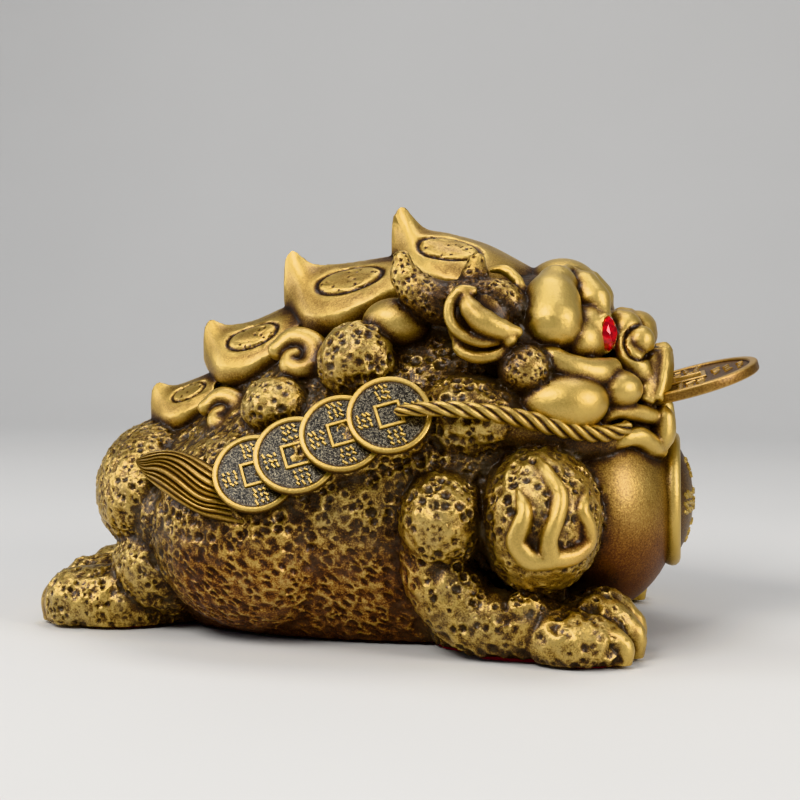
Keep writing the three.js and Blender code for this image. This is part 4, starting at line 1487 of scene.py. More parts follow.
def mesh_of(shell: Shell, name: str) -> Object:
    """The shell as a mesh object in metres, shaded smooth, with its patina and ground.

    Args:
        shell: the surface.
        name: of the object and its mesh.

    Returns:
        The object, in the scene.
    """
    mesh = bpy.data.meshes.new(name)
    mesh.vertices.add(len(shell.points))
    mesh.vertices.foreach_set("co", (shell.points * MM).ravel())
    mesh.loops.add(shell.faces.size)
    mesh.loops.foreach_set("vertex_index", shell.faces.astype(np.int32).ravel())
    mesh.polygons.add(len(shell.faces))
    mesh.polygons.foreach_set("loop_start", np.arange(0, shell.faces.size, 3, dtype=np.int32))
    mesh.update(calc_edges=True)
    mesh.shade_smooth()
    for key, values in (("patina_and_shade", shell.patina_and_shade), ("ground", shell.ground)):
        store(mesh, key, np.zeros(len(shell.points)) if values is None else values)
    return placed(bpy.data.objects.new(name, mesh))


def store(mesh: bpy.types.Mesh, key: str, values: Array) -> None:
    """Keeps a number for each point of the mesh, under a name that the materials read."""
    attribute = mesh.attributes.get(key) or mesh.attributes.new(key, "FLOAT", "POINT")
    attribute.data.foreach_set("value", np.asarray(values, np.float32))


def evaluate(obj: Object) -> None:
    """Works the object's modifiers into its mesh."""
    obj.data = bpy.data.meshes.new_from_object(obj.evaluated_get(bpy.context.evaluated_depsgraph_get()))
    obj.modifiers.clear()


class Along(Enum):
    """What a border is measured along: forward, out from the plane of symmetry, or up."""

    X = 0
    OUT = 1
    Z = 2

    def of(self, points: Array) -> Array:
        """That measure of each point."""
        return np.abs(points[:, 1]) if self is Along.OUT else points[:, self.value]


X, OUT, Z = Along


@dataclass(frozen=True)
class Region:
    """A part of the skin with soft borders.

    borders: for each, what it is measured along, where the region starts to count and where it counts fully.
    most: how much it counts there.
    """

    borders: tuple[tuple[Along, float, float], ...]
    most: float = 1.0

    def share(self, points: Array) -> Array:
        """How much each point belongs to it, from 0 to the most: the product of a ramp over each border."""
        return self.most * np.prod([ramp(along.of(points), *places) for along, *places in self.borders], 0)


@dataclass(frozen=True)
class Relief:
    """How the skin is carved.

    streaks: slanted pits low on the flanks; dents: broad shallow ones, on all pitted skin.
    low_flank, rump, paw, fore, rear_foot, arm: where each kind holds; fore is the front foot.
    """

    round_pits: Pitting = Pitting(2.95, 1.75, 0.8, seed=31)
    rump_pits: Pitting = Pitting(2.5, 1.25, 0.6, seed=17)
    leg_pits: Pitting = Pitting(3.5, 1.6, 0.8, seed=41)
    streaks: Pitting = Pitting(2.0, 1.3, 0.7, seed=5, stretch=1.9, slant=38)
    dents: Pitting = Pitting(4.7, 3.2, 1.5, seed=3)
    comb: Pitting = Pitting(1.8, 1.2, 0.75, seed=8)
    grain: Pitting = Pitting(2.4, 0.9, 0.6, seed=13)
    low_flank: Region = Region(((Z, 34, 22), (X, 14, 6), (X, -60, -48)))
    rump: Region = Region(((X, -56, -66),))
    paw: Region = Region(((Z, 24, 14), (X, 20, 30)))
    fore: Region = Region(((Z, 19, 12), (X, 28, 36)))
    rear_foot: Region = Region(((X, -58, -64), (Z, 26, 20)))
    arm: Region = Region(((Z, 36, 30), (X, 8, 14)))
    uneven: float = 0.38
    uneven_length: float = 9
    pit_deep: float = 1.1
    rump_deep: float = 0.78
    streak_deep: float = 0.8
    leg_deep: float = 0.88
    leg_rim: float = 1.2
    rim_high: float = 0.26
    dent_deep: float = 0.5
    comb_deep: float = 0.85
    grain_deep: float = 0.3
    swell_high: float = 0.2
    swell_length: float = 4.5

    def at(self, p: Array, masks: dict[Skin, Array]) -> tuple[Array, Array, Array]:
        """How the skin's own texture moves each point.

        Args:
            p: the points.
            masks: for each skin, how much each point has it.

        Returns:
            How far each moves out, how deep it is in a pit, and how deep in comb or grain.
        """
        regions = (self.low_flank, self.rump, self.paw, self.fore, self.rear_foot, self.arm)
        low, rump, paw, fore, rear_foot, arm = (region.share(p) for region in regions)
        foot, leg = np.maximum(fore, rear_foot), np.maximum(arm, fore)
        strong = 0.8 + self.uneven * drift(p, self.uneven_length)
        (bowl, rim), (few, few_rim) = self.round_pits.at(p), self.leg_pits.at(p)
        few, few_rim = few * (self.leg_deep - 0.45 * fore), few_rim * (self.leg_rim - 0.6 * fore)
        bowl = (1 - leg) * bowl * strong + leg * few
        rim = (1 - leg) * rim * strong + leg * few_rim
        bowl = (1 - rump) * bowl + self.rump_deep * rump * self.rump_pits.bowls(p)
        skin, dent = masks[PITTED], self.dents.bowls(p)
        pitted = skin * ((1 - low) * bowl + self.streak_deep * low * self.streaks.bowls(p))
        combed, grained = masks[COMBED] * self.comb.bowls(p), masks[GRAINED] * self.grain.bowls(p)
        shape = -self.pit_deep * pitted - self.comb_deep * combed - self.grain_deep * grained
        dented = (self.dent_deep + 0.2 * leg + 0.35 * np.maximum(paw, foot)) * dent
        swell = self.swell_high * drift(p, self.swell_length)
        shape += skin * (self.rim_high * (1 - low) * rim - dented + swell)
        pitted = np.maximum(pitted, (0.3 - 0.15 * foot) * skin * dent)
        return shape, pitted, np.maximum(combed, 0.6 * grained)


def tinted(regions: tuple[Region, ...], points: Array) -> Array:
    """What several regions add together to the darkness of each point."""
    return sum(region.share(points) for region in regions)


FLANK = ((X, -74, -60), (X, 17, 9), (Z, 52, 16))
THROAT = ((X, 50, 56), (Z, 54, 50), (X, 79.5, 78))
CLAW_TOP = (Z, 14, 11)


@dataclass(frozen=True)
class PatinaAndShade:
    """How dark the skin is, from 0 clean to 1 black: patina, with painted shade and painted highlights worked
    in.

    clean, rough_dark: darkness of a smooth form that is rubbed clean, and what rough skin adds.
    uneven, uneven_length: how much that strays, and over what length.
    on_rough, on_smooth, on_throat, ear, antlers, claws: what some regions add; on_rough and on_throat make the
    flank, the haunch and the throat darker towards the bottom.
    feet_top, feet_inside, claw_inside: height and inner border of the front feet, and that of their claws.
    pit_dark, pit_power: what the bottom of a pit adds, and the power of the depth that it follows.
    valleys: how often the skin is smoothed to find a valley, what a millimetre of it adds, and the least; a
    valley gets patina and painted shade, and what stands out is lightened, partly as rubbed wear and partly as
    a painted highlight.
    gaps: for each reach, what being shut in adds on smooth forms and on rough skin, as painted shade.
    open_share: the share of solid at which a point is neither open nor shut in.
    knee, rear: how much less being shut in counts there.
    flush_flank, flush_throat, flush_rear: where the colour goes red, and where that ends at the rear.
    """

    clean: float = 0.11
    rough_dark: float = 0.11
    uneven: float = 0.1
    uneven_length: float = 13
    on_rough: tuple[Region, ...] = (
        Region(FLANK, 0.23),
        Region((*FLANK, (X, -24, -8)), -0.1),
        Region(((X, -34, -46), (X, -76, -66), (Z, 52, 42)), 0.19),
        Region(((X, -48, -36), (X, 16, 4), (Z, 30, 40)), -0.08),
    )
    on_smooth: tuple[Region, ...] = (
        Region(((X, 36, 26), (Z, 56, 60)), 0.17),
        Region(((X, 60, 66), (Z, 58, 64)), 0.1),
    )
    on_throat: tuple[Region, ...] = (Region(THROAT, 0.16), Region((*THROAT, (Z, 46, 22)), 0.3))
    ear: Region = Region(((X, 42, 39), (Z, 77, 79), (OUT, 32, 34)), 0.25)
    antlers: Region = Region(((X, 36, 30),), 0.14)
    feet_top: float = 17
    feet_inside: float = 30
    claws: tuple[Region, Region] = (
        Region((CLAW_TOP, (X, 64, 67)), 0.24),
        Region((CLAW_TOP, (X, -92, -95)), 0.24),
    )
    claw_inside: float = 31
    pit_dark: float = 0.66
    pit_power: float = 1.5
    comb_dark: float = 0.42
    grain_dark: float = 0.12
    valleys: tuple = ((2, 4.0, -0.1), (10, 1.6, -0.14), (40, 0.5, -0.3))
    gaps: tuple = ((3.5, 0.9, 1.5), (9, 0.6, 1.5))
    open_share: float = 0.45
    knee: Region = Region(((X, 34, 40), (Z, 14, 22), (OUT, 38, 44)), 0.6)
    rear: Region = Region(((X, -54, -62),), 0.35)
    flush_flank: Region = Region((*FLANK, (Z, 46, 20), (Z, -1, 1), (X, -64, -50)))
    flush_throat: Region = Region((*THROAT, (Z, 44, 24)))
    flush_rear: float = -60

    def clear_of_feet(self, points: Array) -> Array:
        """Whether each point is above the front feet or between them."""
        return (Z.of(points) > self.feet_top) | (OUT.of(points) < self.feet_inside)

    def by_place(self, points: Array, rough: Array, masks: dict[Skin, Array]) -> Array:
        """How dark each point is from where it lies and what skin it has.

        Args:
            points: where to look.
            rough: how rough the skin is.
            masks: for each skin, how much each point has it.

        Returns:
            The darkness.
        """
        front, rear = (region.share(points) for region in self.claws)
        claw = np.maximum(front * (OUT.of(points) > self.claw_inside), rear)
        throat = tinted(self.on_throat, points) * self.clear_of_feet(points)
        smooth = tinted(self.on_smooth, points) + throat + claw
        strayed = self.rough_dark + self.uneven * drift(points, self.uneven_length)
        dark = self.clean + rough * (strayed + tinted(self.on_rough, points)) + (1 - rough) * smooth
        dark += self.ear.share(points) + (self.comb_dark + self.antlers.share(points)) * masks[COMBED]
        return dark + self.grain_dark * masks[GRAINED]

    def painted_shade_and_wear(self, surface: Surface, start: Array, normal: Array, rough: Array, hollows: Hollows) -> Array:
        """Painted shade in valleys and between the forms, over patina there, and lightening where a point
        stands out, partly rubbed wear and partly a painted highlight.

        Args:
            surface: the carved skin.
            start, normal: its points before they were carved, and their normals.
            rough: how rough the skin is.
            hollows: how shut in each place is.

        Returns:
            What it adds to the darkness.
        """
        dark = np.zeros(len(start))
        # Valleys darken as patina and painted shade; what stands out lightens as rubbed wear and painted
        # highlights.
        for times, gain, least in self.valleys:
            under = ((surface.smoothed(surface.points, times) - surface.points) * normal).sum(1)
            dark += gain * np.clip(under, least, 0.5)
        held = (1 - self.knee.share(start)) * (1 - self.rear.share(start))
        # Painted shade: the more solid around a point, the floor included, the darker it is.
        for reach, least, most in self.gaps:
            shut = surface.smoothed(hollows.around(start + 1.5 * normal, reach), 5)
            gain = held * (least + (most - least) * rough)
            dark += gain * np.clip(shut - self.open_share, -0.12, 0.5)
        return dark

    def flush(self, points: Array, rough: Array) -> Array:
        """How red each point is made, from 0 to 1: most low on the flanks and under the throat."""
        flank = self.flush_flank.share(points) * (X.of(points) > self.flush_rear)
        return np.clip(flank + (1 - rough) * self.flush_throat.share(points) * self.clear_of_feet(points), 0, 1)


@dataclass
class Casting:
    """The whole casting: its masses fused and carved, with the crisp carving laid on.

    voxel: side of the cells that the masses are fused in.
    faces_even, faces_kept: faces left by the two thinnings.
    far_side: where along Y the side starts that the second one thins.
    pad_groove, pad_deep: width, in shares of the pad, and depth of the groove round it.
    """

    voxel: float = 0.5
    faces_even: int = 216_000
    faces_kept: int = 154_500
    far_side: float = 6
    trunk: Trunk = Trunk()
    legs: Legs = Legs()
    crest: Crest = Crest()
    head: Head = Head()
    string: CoinString = CoinString()
    tuft: HairTuft = HairTuft()
    disc: BellyDisc = BellyDisc()
    coin: MouthCoin = MouthCoin()
    relief: Relief = Relief()
    patina_and_shade: PatinaAndShade = PatinaAndShade()
    felt_top: float = 1.0
    nostril_deep: float = 1.1
    pad_groove: float = 0.095
    pad_deep: float = 0.75
    pad_stipple: Pitting = Pitting(1.9, 0.7, 0.4, seed=21)

    def fused(self, shells: list[Shell]) -> Object:
        """The masses fused into one skin of even cells, and smoothed a little.

        Args:
            shells: the masses.

        Returns:
            The skin.
        """
        obj = mesh_of(joined(shells), "toad_brass")
        fuse = obj.modifiers.new("fuse", "REMESH")
        fuse.mode, fuse.voxel_size = "VOXEL", self.voxel * MM
        evaluate(obj)
        surface = Surface(obj.data)
        surface.points = surface.smoothed(surface.points, 3)
        surface.write()
        return obj

    def carve(self, obj: Object, skins: SkinMap, crisp: Array) -> None:
        """Moves the skin's points in and out along their normals, and works out how dark each is: patina, with
        painted shade and painted highlights.

        Args:
            obj: the skin.
            skins: which skin each place has.
            crisp: points of the crisp carving, which shut in what lies beside them, so that shade is painted
                there.
        """
        surface = Surface(obj.data)
        start, normal = surface.points.copy(), surface.normals()
        masks = {skin: surface.smoothed(skins.share(start, skin), 4) for skin in Skin}
        shape, pitted, fine = self.relief.at(start, masks)
        self.cut_grooves(start, shape, pitted)
        self.stipple_pads(start, normal, shape, pitted)
        surface.points = start + normal * shape[:, None]
        surface.points[:, 2] = np.maximum(surface.points[:, 2], self.felt_top)
        surface.write()
        rough = np.clip(masks[PITTED] + masks[COMBED] + masks[GRAINED], 0, 1)
        dark = self.patina_and_shade.by_place(start, rough, masks)
        deep = np.clip(np.maximum(pitted, fine), 0, 1)
        dark += self.patina_and_shade.pit_dark * deep**self.patina_and_shade.pit_power
        # Painted shade where the skin is shut in, and painted highlights where it stands out.
        dark += self.patina_and_shade.painted_shade_and_wear(surface, start, normal, rough, Hollows(np.vstack([start, crisp])))
        store(obj.data, "patina_and_shade", np.clip(dark, 0, 1))
        store(obj.data, "flush", surface.smoothed(self.patina_and_shade.flush(start, rough), 2))
        store(obj.data, "ground", np.zeros(len(start)))
        store(obj.data, "rough", masks[PITTED] + 0.5 * masks[COMBED] + 0.4 * masks[GRAINED])

    def cut_grooves(self, p: Array, shape: Array, pitted: Array) -> None:
        """Cuts the grooves of nostril, claws and leg, on both sides.

        Args:
            p: the points.
            shape, pitted: how far out each moves and how deep it is in a pit, which are changed.
        """
        depth = self.head.nostril_depth(p)
        shape -= self.nostril_deep * depth
        np.maximum(pitted, depth, out=pitted)
        for groove in self.legs.grooves():
            for flip in BOTH_SIDES:
                depth = groove.at(p * flip)
                shape -= depth
                np.maximum(pitted, depth, out=pitted)

    def stipple_pads(self, p: Array, n: Array, shape: Array, pitted: Array) -> None:
        """Draws an oval groove round each pad of the crest, and stipples and lifts what is inside.

        Args:
            p, n: the points and their normals.
            shape, pitted: how far out each moves and how deep it is in a pit, which are changed.
        """
        for scroll in self.crest.scrolls:
            middle, front, across, out = scroll.pad_frame()
            _, _, long, wide = scroll.pad
            for flip in BOTH_SIDES:
                q = p * flip - middle
                ring = np.hypot(q @ front / long, q @ across / wide)
                here = (ring < 1.6) & (np.abs(q @ out) < 4) & ((n * flip) @ out > 0.2)
                groove = bell(ring - 1, self.pad_groove)[here]
                stipple = self.pad_stipple.bowls(p[here])
                inside = np.clip((1 - ring[here]) * 6, 0, 1)
                shape[here] += -self.pad_deep * groove + inside * (0.1 - 0.5 * stipple)
                pitted[here] += 0.8 * groove + 0.6 * inside * stipple

    def thinned(self, obj: Object) -> None:
        """Brings the skin down to the faces kept: all of it alike, then the far side, which stays plainer.

        The skin gets back the normals that it had before, so that smooth forms show no facets.

        Args:
            obj: the skin.
        """
        full = placed(bpy.data.objects.new("full", obj.data.copy()))
        for kept, grouped in ((self.faces_even, False), (self.faces_kept, True)):
            obj.data.calc_loop_triangles()
            thin = obj.modifiers.new("thin", "DECIMATE")
            thin.ratio = kept / len(obj.data.loop_triangles)
            thin.use_collapse_triangulate = True
            if grouped:
                group = obj.vertex_groups.new(name="far")
                far = np.nonzero(Surface(obj.data).points[:, 1] > self.far_side)[0]
                group.add(far.tolist(), 1.0, "REPLACE")
                thin.vertex_group = group.name
            evaluate(obj)
        obj.vertex_groups.clear()
        carry = obj.modifiers.new("carry", "DATA_TRANSFER")
        carry.object, carry.use_loop_data = full, True
        carry.data_types_loops, carry.loop_mapping = {"CUSTOM_NORMAL"}, "POLYINTERP_NEAREST"
        evaluate(obj)
        bpy.data.meshes.remove(full.data)

    def cut_seats(self, obj: Object) -> None:
        """Cuts the slot that the mouth coin lies in and the seats of the stones.

        Args:
            obj: the skin.
        """
        seat = self.head.stone.seat()
        cutter = mesh_of(joined([self.coin.slot(), seat, seat.mirrored()]), "cutter")
        cut = obj.modifiers.new("cut", "BOOLEAN")
        cut.operation, cut.solver, cut.object = "DIFFERENCE", "MANIFOLD", cutter
        evaluate(obj)
        bpy.data.objects.remove(cutter)

    def build(self) -> Object:
        """Fuses, carves and thins the masses, and lays the crisp carving on.

        Returns:
            The piece.
        """
        shells = [*self.trunk.shells(), *self.legs.shells(), *self.crest.shells(), *self.head.shells()]
        crisp = joined([*both_sides([*self.string.shells(), self.tuft.shell()]), *self.disc.shells()])
        obj = self.fused(shells)
        LOG.info("masses fused: %d points", len(obj.data.vertices))
        self.carve(obj, SkinMap(shells), crisp.points)
        self.cut_seats(obj)
        self.thinned(obj)
        LOG.info("masses thinned: %d faces", len(obj.data.polygons))
        laid = mesh_of(crisp, "crisp")
        LOG.info("crisp carving: %d faces", len(laid.data.polygons))
        laid.data.set_sharp_from_angle(angle=CRISP_EDGE)
        with bpy.context.temp_override(active_object=obj, object=obj, selected_editable_objects=[obj, laid]):
            bpy.ops.object.join()
        return obj


# Finishes


class Nodes:
    """A material's node tree, with short ways to add and link nodes."""

    def __init__(self, name: str) -> None:
        """Starts a material.

        Args:
            name: its name.
        """
        self.material = bpy.data.materials.new(name)
        self.material.use_nodes = True
        self.tree = self.material.node_tree
        self.shader = self.tree.nodes["Principled BSDF"]

    def add(self, kind: str, inputs: dict | None = None, **settings: object) -> bpy.types.Node:
        """A new node.

        Args:
            kind: its type.
            inputs: by name or number, what each input is fed.
            **settings: its settings.

        Returns:
            The node.
        """
        node = self.tree.nodes.new(kind)
        for key, value in settings.items():
            setattr(node, key, value)
        for key, value in (inputs or {}).items():
            self.feed(node.inputs[key], value)
        return node

    def feed(self, socket: Socket, value: object) -> None:
        """Links a socket to another, or sets its value.

        Args:
            socket: the one to feed.
            value: the other socket, a number, or a colour as a tuple of three.
        """
        if isinstance(value, Socket):
            self.tree.links.new(value, socket)
        else:
            socket.default_value = (*value, 1) if isinstance(value, tuple) else value

    def shade(self, **inputs: object) -> None:
        """Feeds the shader's inputs, an underscore in a name standing for a space."""
        for key, value in inputs.items():
            self.feed(self.shader.inputs[key.replace("_", " ")], value)

    def value(self, key: str) -> Socket:
        """The number kept for each point under that name."""
        return self.add("ShaderNodeAttribute", attribute_name=key).outputs["Fac"]

    def place(self) -> Socket:
        """The point's place on the object."""
        return self.add("ShaderNodeTexCoord").outputs["Object"]

    def noise(self, scale: float, detail: float = 3, rough: float = 0.55) -> Socket:
        """Noise from 0 to 1, with its scale in waves to the metre."""
        inputs = {"Vector": self.place(), "Scale": scale, "Detail": detail, "Roughness": rough}
        return self.add("ShaderNodeTexNoise", inputs).outputs["Fac"]

    def maths(self, operation: str, a: object, b: object = 0.5, clamp: bool = False) -> Socket:
        """A sum of two numbers, which clamp keeps between 0 and 1."""
        return self.add("ShaderNodeMath", {0: a, 1: b}, operation=operation, use_clamp=clamp).outputs[0]

    def product(self, *factors: object) -> Socket:
        """The product of two or more numbers, the last two multiplied first."""
        first, *others = factors
        return self.maths("MULTIPLY", first, others[0] if len(others) == 1 else self.product(*others))

    def ramp(self, factor: Socket, stops: tuple) -> Socket:
        """Colours run through by a factor.

        Args:
            factor: how far along them.
            stops: place and colour of each stop.

        Returns:
            The colour.
        """
        node = self.add("ShaderNodeValToRGB", {"Fac": factor})
        elements = node.color_ramp.elements
        while len(elements) < len(stops):
            elements.new(0.5)
        for element, (place, colour) in zip(elements, stops):
            element.position, element.color = place, (*colour, 1)
        return node.outputs["Color"]

    def mix(self, factor: object, a: object, b: object, blend: str = "MIX") -> Socket:
        """Two colours mixed, the factor being the share of the second; the numbers are the colour sockets'."""
        return self.add("ShaderNodeMix", {0: factor, 6: a, 7: b}, data_type="RGBA", blend_type=blend).outputs[2]

    def carried(self, value: Socket, low: float, high: float, *to: float) -> Socket:
        """A number carried from one range to another, and held inside it."""
        inputs = {"Value": value, "From Min": low, "From Max": high, "To Min": to[0], "To Max": to[1]}
        return self.add("ShaderNodeMapRange", inputs).outputs["Result"]

    def bump(self, height: Socket, distance: float, strength: float) -> Socket:
        """The normal of a surface that is as high as that, the distance in metres."""
        inputs = {"Height": height, "Distance": distance, "Strength": strength}
        return self.add("ShaderNodeBump", inputs).outputs["Normal"]


@dataclass(frozen=True)
class AntiqueBrass:
    """Cast brass with a dark patina that is rubbed off where hands reach; the darkness it reads also holds
    painted shade and painted highlights.

    bright, ochre, umber, black: colours from the cleanest place to the deepest; stops: how dark each is.
    ground: the coins' ground, from the darkest specks to those where the brass shows.
    cloud to stipples: how fine each pattern is, in waves to the metre.
    metal, gloss: from clean to dark, how metallic and how rough it is.
    """

    name: str = "antique_brass"
    bright: tuple = (0.655, 0.477, 0.165)
    ochre: tuple = (0.385, 0.252, 0.088)
    umber: tuple = (0.116, 0.064, 0.034)
    black: tuple = (0.024, 0.0155, 0.0115)
    stops: tuple = (0.0, 0.3, 0.62, 0.95)
    warm: tuple = (1.0, 0.86, 0.62)
    red: tuple = (1.12, 0.8, 0.74)
    dust: tuple = (0.25, 0.21, 0.15)
    ground: tuple = ((0.17, (0.022, 0.021, 0.020)), (0.27, (0.085, 0.078, 0.07)), (0.4, (0.35, 0.30, 0.20)))
    cloud: float = 70
    warm_cloud: float = 30
    dust_cloud: float = 150
    pock_cloud: float = 260
    speck: float = 2100
    pock: float = 620
    grains: tuple[float, float] = (1300, 420)
    stipples: tuple[float, float] = (3400, 1700)
    metal: tuple[float, float] = (1.0, 0.55)
    gloss: tuple[float, float] = (0.46, 0.58)
    coat: float = 0.3
    coat_rough: float = 0.28
    grain_high: float = 0.00016
    grain_strength: float = 0.7

    def pocks(self, n: Nodes, rough: Socket) -> Socket:
        """Small round pocks that come in clouds, on rough skin alone.

        Args:
            n: the material's nodes.
            rough: how rough the skin is.

        Returns:
            From 0 to 1 in the middle of a pock.
        """
        cells = n.add("ShaderNodeTexVoronoi", {"Vector": n.place(), "Scale": self.pock, "Randomness": 1.0})
        round_pock = n.carried(cells.outputs["Distance"], 0.12, 0.42, 1.0, 0.0)
        return n.product(round_pock, rough, n.carried(n.noise(self.pock_cloud, 2), 0.4, 0.6, 0.0, 1.0))

    def darkness(self, n: Nodes, rough: Socket, pock: Socket) -> Socket:
        """The patina and painted shade, broken by clouds, pocks and fine specks, more where the skin is rough.

        Args:
            n: the material's nodes.
            rough: how rough the skin is.
            pock: the pocks.

        Returns:
            The darkness.
        """
        # The stored darkness: patina, with painted shade and painted highlights.
        stored_patina_and_shade = n.value("patina_and_shade")
        cloud = n.maths("SUBTRACT", n.noise(self.cloud, 4), 0.5)
        speck = n.maths("SUBTRACT", n.noise(self.speck, 2, 0.7), 0.5)
        strength = n.maths("ADD", n.carried(stored_patina_and_shade, 0.05, 0.4, 0.38, 0.85), n.product(rough, 0.95))
        dark = n.maths("ADD", stored_patina_and_shade, n.product(cloud, 0.4))
        dark = n.maths("ADD", dark, n.product(pock, 0.22))
        return n.maths("ADD", dark, n.product(speck, strength), clamp=True)

    def colour(self, n: Nodes, dark: Socket, rough: Socket) -> Socket:
        """The colour for a darkness: warm in clouds, dusty where rough, red where flushed, grey on coins.

        Args:
            n: the material's nodes.
            dark: the darkness.
            rough: how rough the skin is.

        Returns:
            The colour.
        """
        colour = n.ramp(dark, tuple(zip(self.stops, (self.bright, self.ochre, self.umber, self.black))))
        warmed = n.carried(n.noise(self.warm_cloud, 2), 0.35, 0.65, 0.0, 0.45)
        colour = n.mix(1.0, colour, n.mix(warmed, (1, 1, 1), self.warm, "MULTIPLY"), "MULTIPLY")
        dusty = n.product(rough, n.carried(n.noise(self.dust_cloud, 4, 0.7), 0.45, 0.7, 0.03, 0.36))
        colour = n.mix(dusty, colour, self.dust)
        flushed = n.product(n.value("flush"), n.carried(dark, 0.15, 0.45, 0.2, 1.0))
        colour = n.mix(flushed, colour, n.mix(1.0, colour, self.red, "MULTIPLY"))
        fine, coarse = self.stipples
        grey = n.ramp(n.product(n.noise(fine, 2, 0.7), n.noise(coarse, 2)), self.ground)
        return n.mix(n.value("ground"), colour, grey)

    def material(self) -> bpy.types.Material:
        """The finish, whose darkness chooses the colour, the roughness and how metallic it is.

        Returns:
            The material.
        """
        n = Nodes(self.name)
        rough = n.value("rough")
        pock = self.pocks(n, rough)
        dark = self.darkness(n, rough, pock)
        fine, coarse = self.grains
        grain = n.maths("ADD", n.noise(fine, 3, 0.6), n.product(n.noise(coarse, 3), 0.8))
        grain = n.maths("SUBTRACT", grain, n.product(pock, 1.6))
        n.shade(
            Base_Color=self.colour(n, dark, rough),
            Metallic=n.carried(dark, 0.45, 1.0, *self.metal),
            Roughness=n.carried(dark, 0.0, 0.9, *self.gloss),
            Coat_Weight=self.coat,
            Coat_Roughness=self.coat_rough,
            Normal=n.bump(grain, self.grain_high, self.grain_strength),
        )
        return n.material


@dataclass(frozen=True)
class RubyGlass:
    """Red cut glass with a bright backing.

    light, deep: the colours that its depth shifts between, in cloudy waves to the metre.
    """

    name: str = "ruby_glass"
    light: tuple = (0.75, 0.003, 0.008)
    deep: tuple = (0.35, 0.0, 0.004)
    waves: float = 700

    def material(self) -> bpy.types.Material:
        """A red with depth, under a clear coat.

        Returns:
            The material.
        """
        n = Nodes(self.name)
        depth = n.carried(n.noise(self.waves, 1), 0.4, 0.6, 0, 1)
        n.shade(
            Base_Color=n.mix(depth, self.light, self.deep),
            Metallic=0.35, Roughness=0.08, Coat_Weight=1.0, Coat_Roughness=0.03,
        )
        return n.material


@dataclass(frozen=True)
class RedFelt:
    """Short crimson pile.

    valley, tip: colours between the fibres and at their ends, with where each stands; the darker valley colour
    follows the pile's bump as painted shade.
    waves, pile: fibres to the metre, and how high they stand.
    """

    name: str = "red_felt"
    valley: tuple = (0.3, (0.16, 0.006, 0.012))
    tip: tuple = (0.7, (0.42, 0.02, 0.035))
    waves: float = 2600
    pile: float = 0.0003

    def material(self) -> bpy.types.Material:
        """Crimson broken by fine fibres, painted darker where the pile is low as shade, with a soft sheen.

        Returns:
            The material.
        """
        n = Nodes(self.name)
        fibre = n.noise(self.waves, 4, 0.7)
        n.shade(
            Base_Color=n.ramp(fibre, (self.valley, self.tip)), Roughness=0.95,
            Sheen_Weight=0.35, Sheen_Roughness=0.5, Normal=n.bump(fibre, self.pile, 0.7),
        )
        return n.material


# The studio


@dataclass(frozen=True)
class SoftBox:
    """A soft light.

    place, size: where it stands, and its width and height, in metres.
    """

    name: str
    place: Point
    size: tuple[float, float]
    watts: float
    colour: Point = (1, 1, 1)

    def build(self, target: Point) -> None:
        """Puts the light up.

        Args:
            target: what it faces.
        """
        data = bpy.data.lights.new(self.name, "AREA")
        data.shape, data.size, data.size_y = "RECTANGLE", *self.size
        data.energy, data.color = self.watts, self.colour
        obj = placed(bpy.data.objects.new(self.name, data))
        obj.location = self.place
        obj.rotation_euler = (obj.location - Vector(target)).to_track_quat("Z", "Y").to_euler()


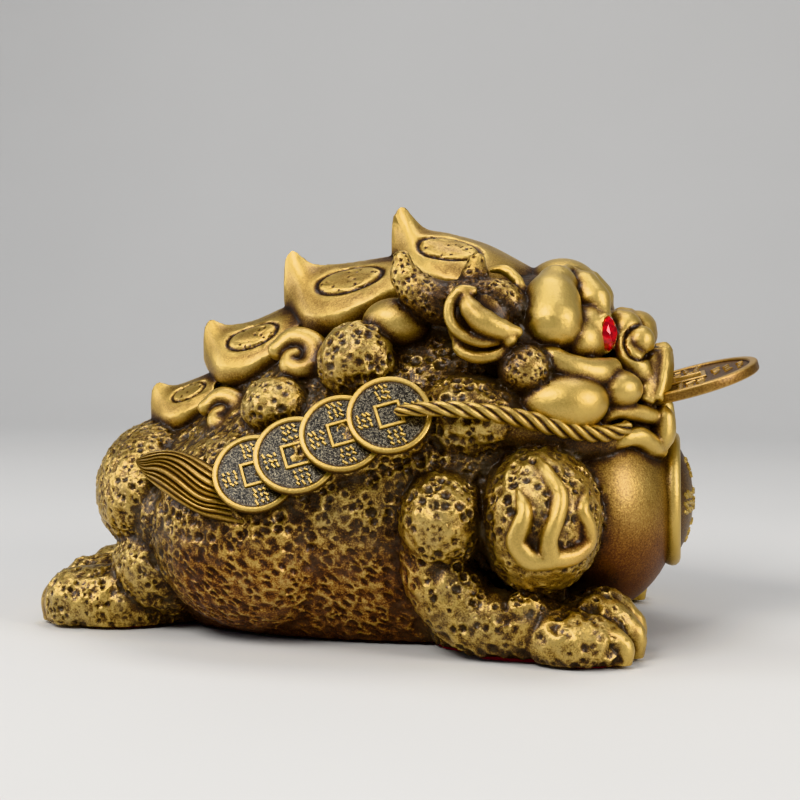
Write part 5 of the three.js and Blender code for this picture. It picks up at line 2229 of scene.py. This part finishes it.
@dataclass(frozen=True)
class Studio:
    """Pale floor, soft lights, and the camera at the photograph's angle. Lengths are metres.

    lens, sensor: in millimetres.
    floor_front, bend, floor_rear: along Y, where the floor starts, starts to bend up, and stands upright.
    """

    azimuth: float = 8.5
    elevation: float = 5.25
    distance: float = 0.5
    target: Point = (0.001, 0.0, 0.065)
    lens: float = 76.95
    sensor: float = 36
    lit: Point = (0, 0, 0.05)
    boxes: tuple[SoftBox, ...] = (
        SoftBox("key", (-0.35, -0.55, 0.75), (0.5, 0.4), 6.0, (1.0, 0.97, 0.92)),
        SoftBox("front", (0.75, -0.35, 0.4), (0.3, 0.45), 4.2, (1.0, 0.96, 0.9)),
        SoftBox("top", (0.05, 0.15, 0.8), (0.5, 0.3), 1.9),
        SoftBox("left", (-0.8, -0.1, 0.3), (0.25, 0.45), 1.8),
    )
    sky: tuple = (0.85, 0.9, 1.0, 1)
    sky_strength: float = 0.3
    floor_front: float = -1.2
    bend: float = 0.5
    floor_rear: float = 0.9
    wall_top: float = 1.6
    floor_half: float = 2.5
    papers: tuple = ((0.62, 0.615, 0.605), (0.66, 0.655, 0.645))

    def camera(self) -> None:
        """Places the camera on its ray from the target."""
        a, e = math.radians(self.azimuth), math.radians(self.elevation)
        back = np.array([math.sin(a) * math.cos(e), -math.cos(a) * math.cos(e), math.sin(e)])
        data = bpy.data.cameras.new("camera")
        data.lens, data.sensor_width, data.clip_start = self.lens, self.sensor, 0.01
        obj = placed(bpy.data.objects.new("camera", data))
        obj.location = np.array(self.target) + self.distance * back
        obj.rotation_euler = (math.pi / 2 - e, 0, a)
        bpy.context.scene.camera = obj

    def floor(self) -> None:
        """A pale floor that rises behind in a soft curve: a profile carried along X."""
        radius = self.floor_rear - self.bend
        y = np.concatenate([[self.floor_front], np.linspace(self.bend, self.floor_rear, 12), [self.floor_rear]])
        rise = radius - np.sqrt(np.maximum(radius**2 - (y[1:-1] - self.bend) ** 2, 0))
        z = np.concatenate([[0], rise, [self.wall_top]])
        sides = (-self.floor_half, self.floor_half)
        points = np.stack([np.stack([0 * y + x, y, z], 1) for x in sides]).reshape(-1, 3)
        k, m = np.arange(len(y) - 1), len(y)
        mesh = bpy.data.meshes.new("floor")
        mesh.from_pydata(points.tolist(), [], np.stack([k, k + m, k + m + 1, k + 1], 1).tolist())
        mesh.shade_smooth()
        n = Nodes("floor_paper")
        n.shade(Base_Color=n.mix(n.noise(6, 2), *self.papers), Roughness=0.85)
        mesh.materials.append(n.material)
        placed(bpy.data.objects.new("floor", mesh))

    def world(self) -> None:
        """The light from all round."""
        world = bpy.data.worlds.new("studio")
        world.use_nodes = True
        background = world.node_tree.nodes["Background"]
        background.inputs["Color"].default_value = self.sky
        background.inputs["Strength"].default_value = self.sky_strength
        bpy.context.scene.world = world

    def build(self) -> None:
        """Sets the stage."""
        self.camera()
        self.floor()
        self.world()
        for box in self.boxes:
            box.build(self.lit)
        bpy.context.scene.view_settings.view_transform = "Khronos PBR Neutral"


def dress(obj: Object, material: bpy.types.Material) -> None:
    """Gives a piece one material all over."""
    obj.data.materials.clear()
    obj.data.materials.append(material)


def piece(obj: Object, material: bpy.types.Material, node: str) -> None:
    """Dresses a piece, hides the node of the frame that it replaces, and reports it.

    Args:
        obj: the piece.
        material: its finish.
        node: the node of the frame that it replaces.
    """
    dress(obj, material)
    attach(obj, BODY)
    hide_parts(node)
    LOG.info("%s: %d faces", obj.name, len(obj.data.polygons))


def main() -> None:
    """Loads the frame, builds each piece and sets the stage."""
    logging.basicConfig(level=logging.INFO, format="%(message)s")
    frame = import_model()
    casting = Casting()
    piece(casting.build(), AntiqueBrass().material(), "toad_casting")
    redder = AntiqueBrass("coin_brass", (0.60, 0.39, 0.14), (0.37, 0.22, 0.075), (0.13, 0.062, 0.026))
    piece(casting.coin.build(), redder.material(), "mouth_coin")
    ruby = RubyGlass().material()
    for stone, node in zip(casting.head.stone.build(), ("eye_stone_left", "eye_stone_right")):
        piece(stone, ruby, node)
    dress(frame["nodes"]["felt_pad"], RedFelt().material())
    Studio().build()


if __name__ == "__main__":
    main()
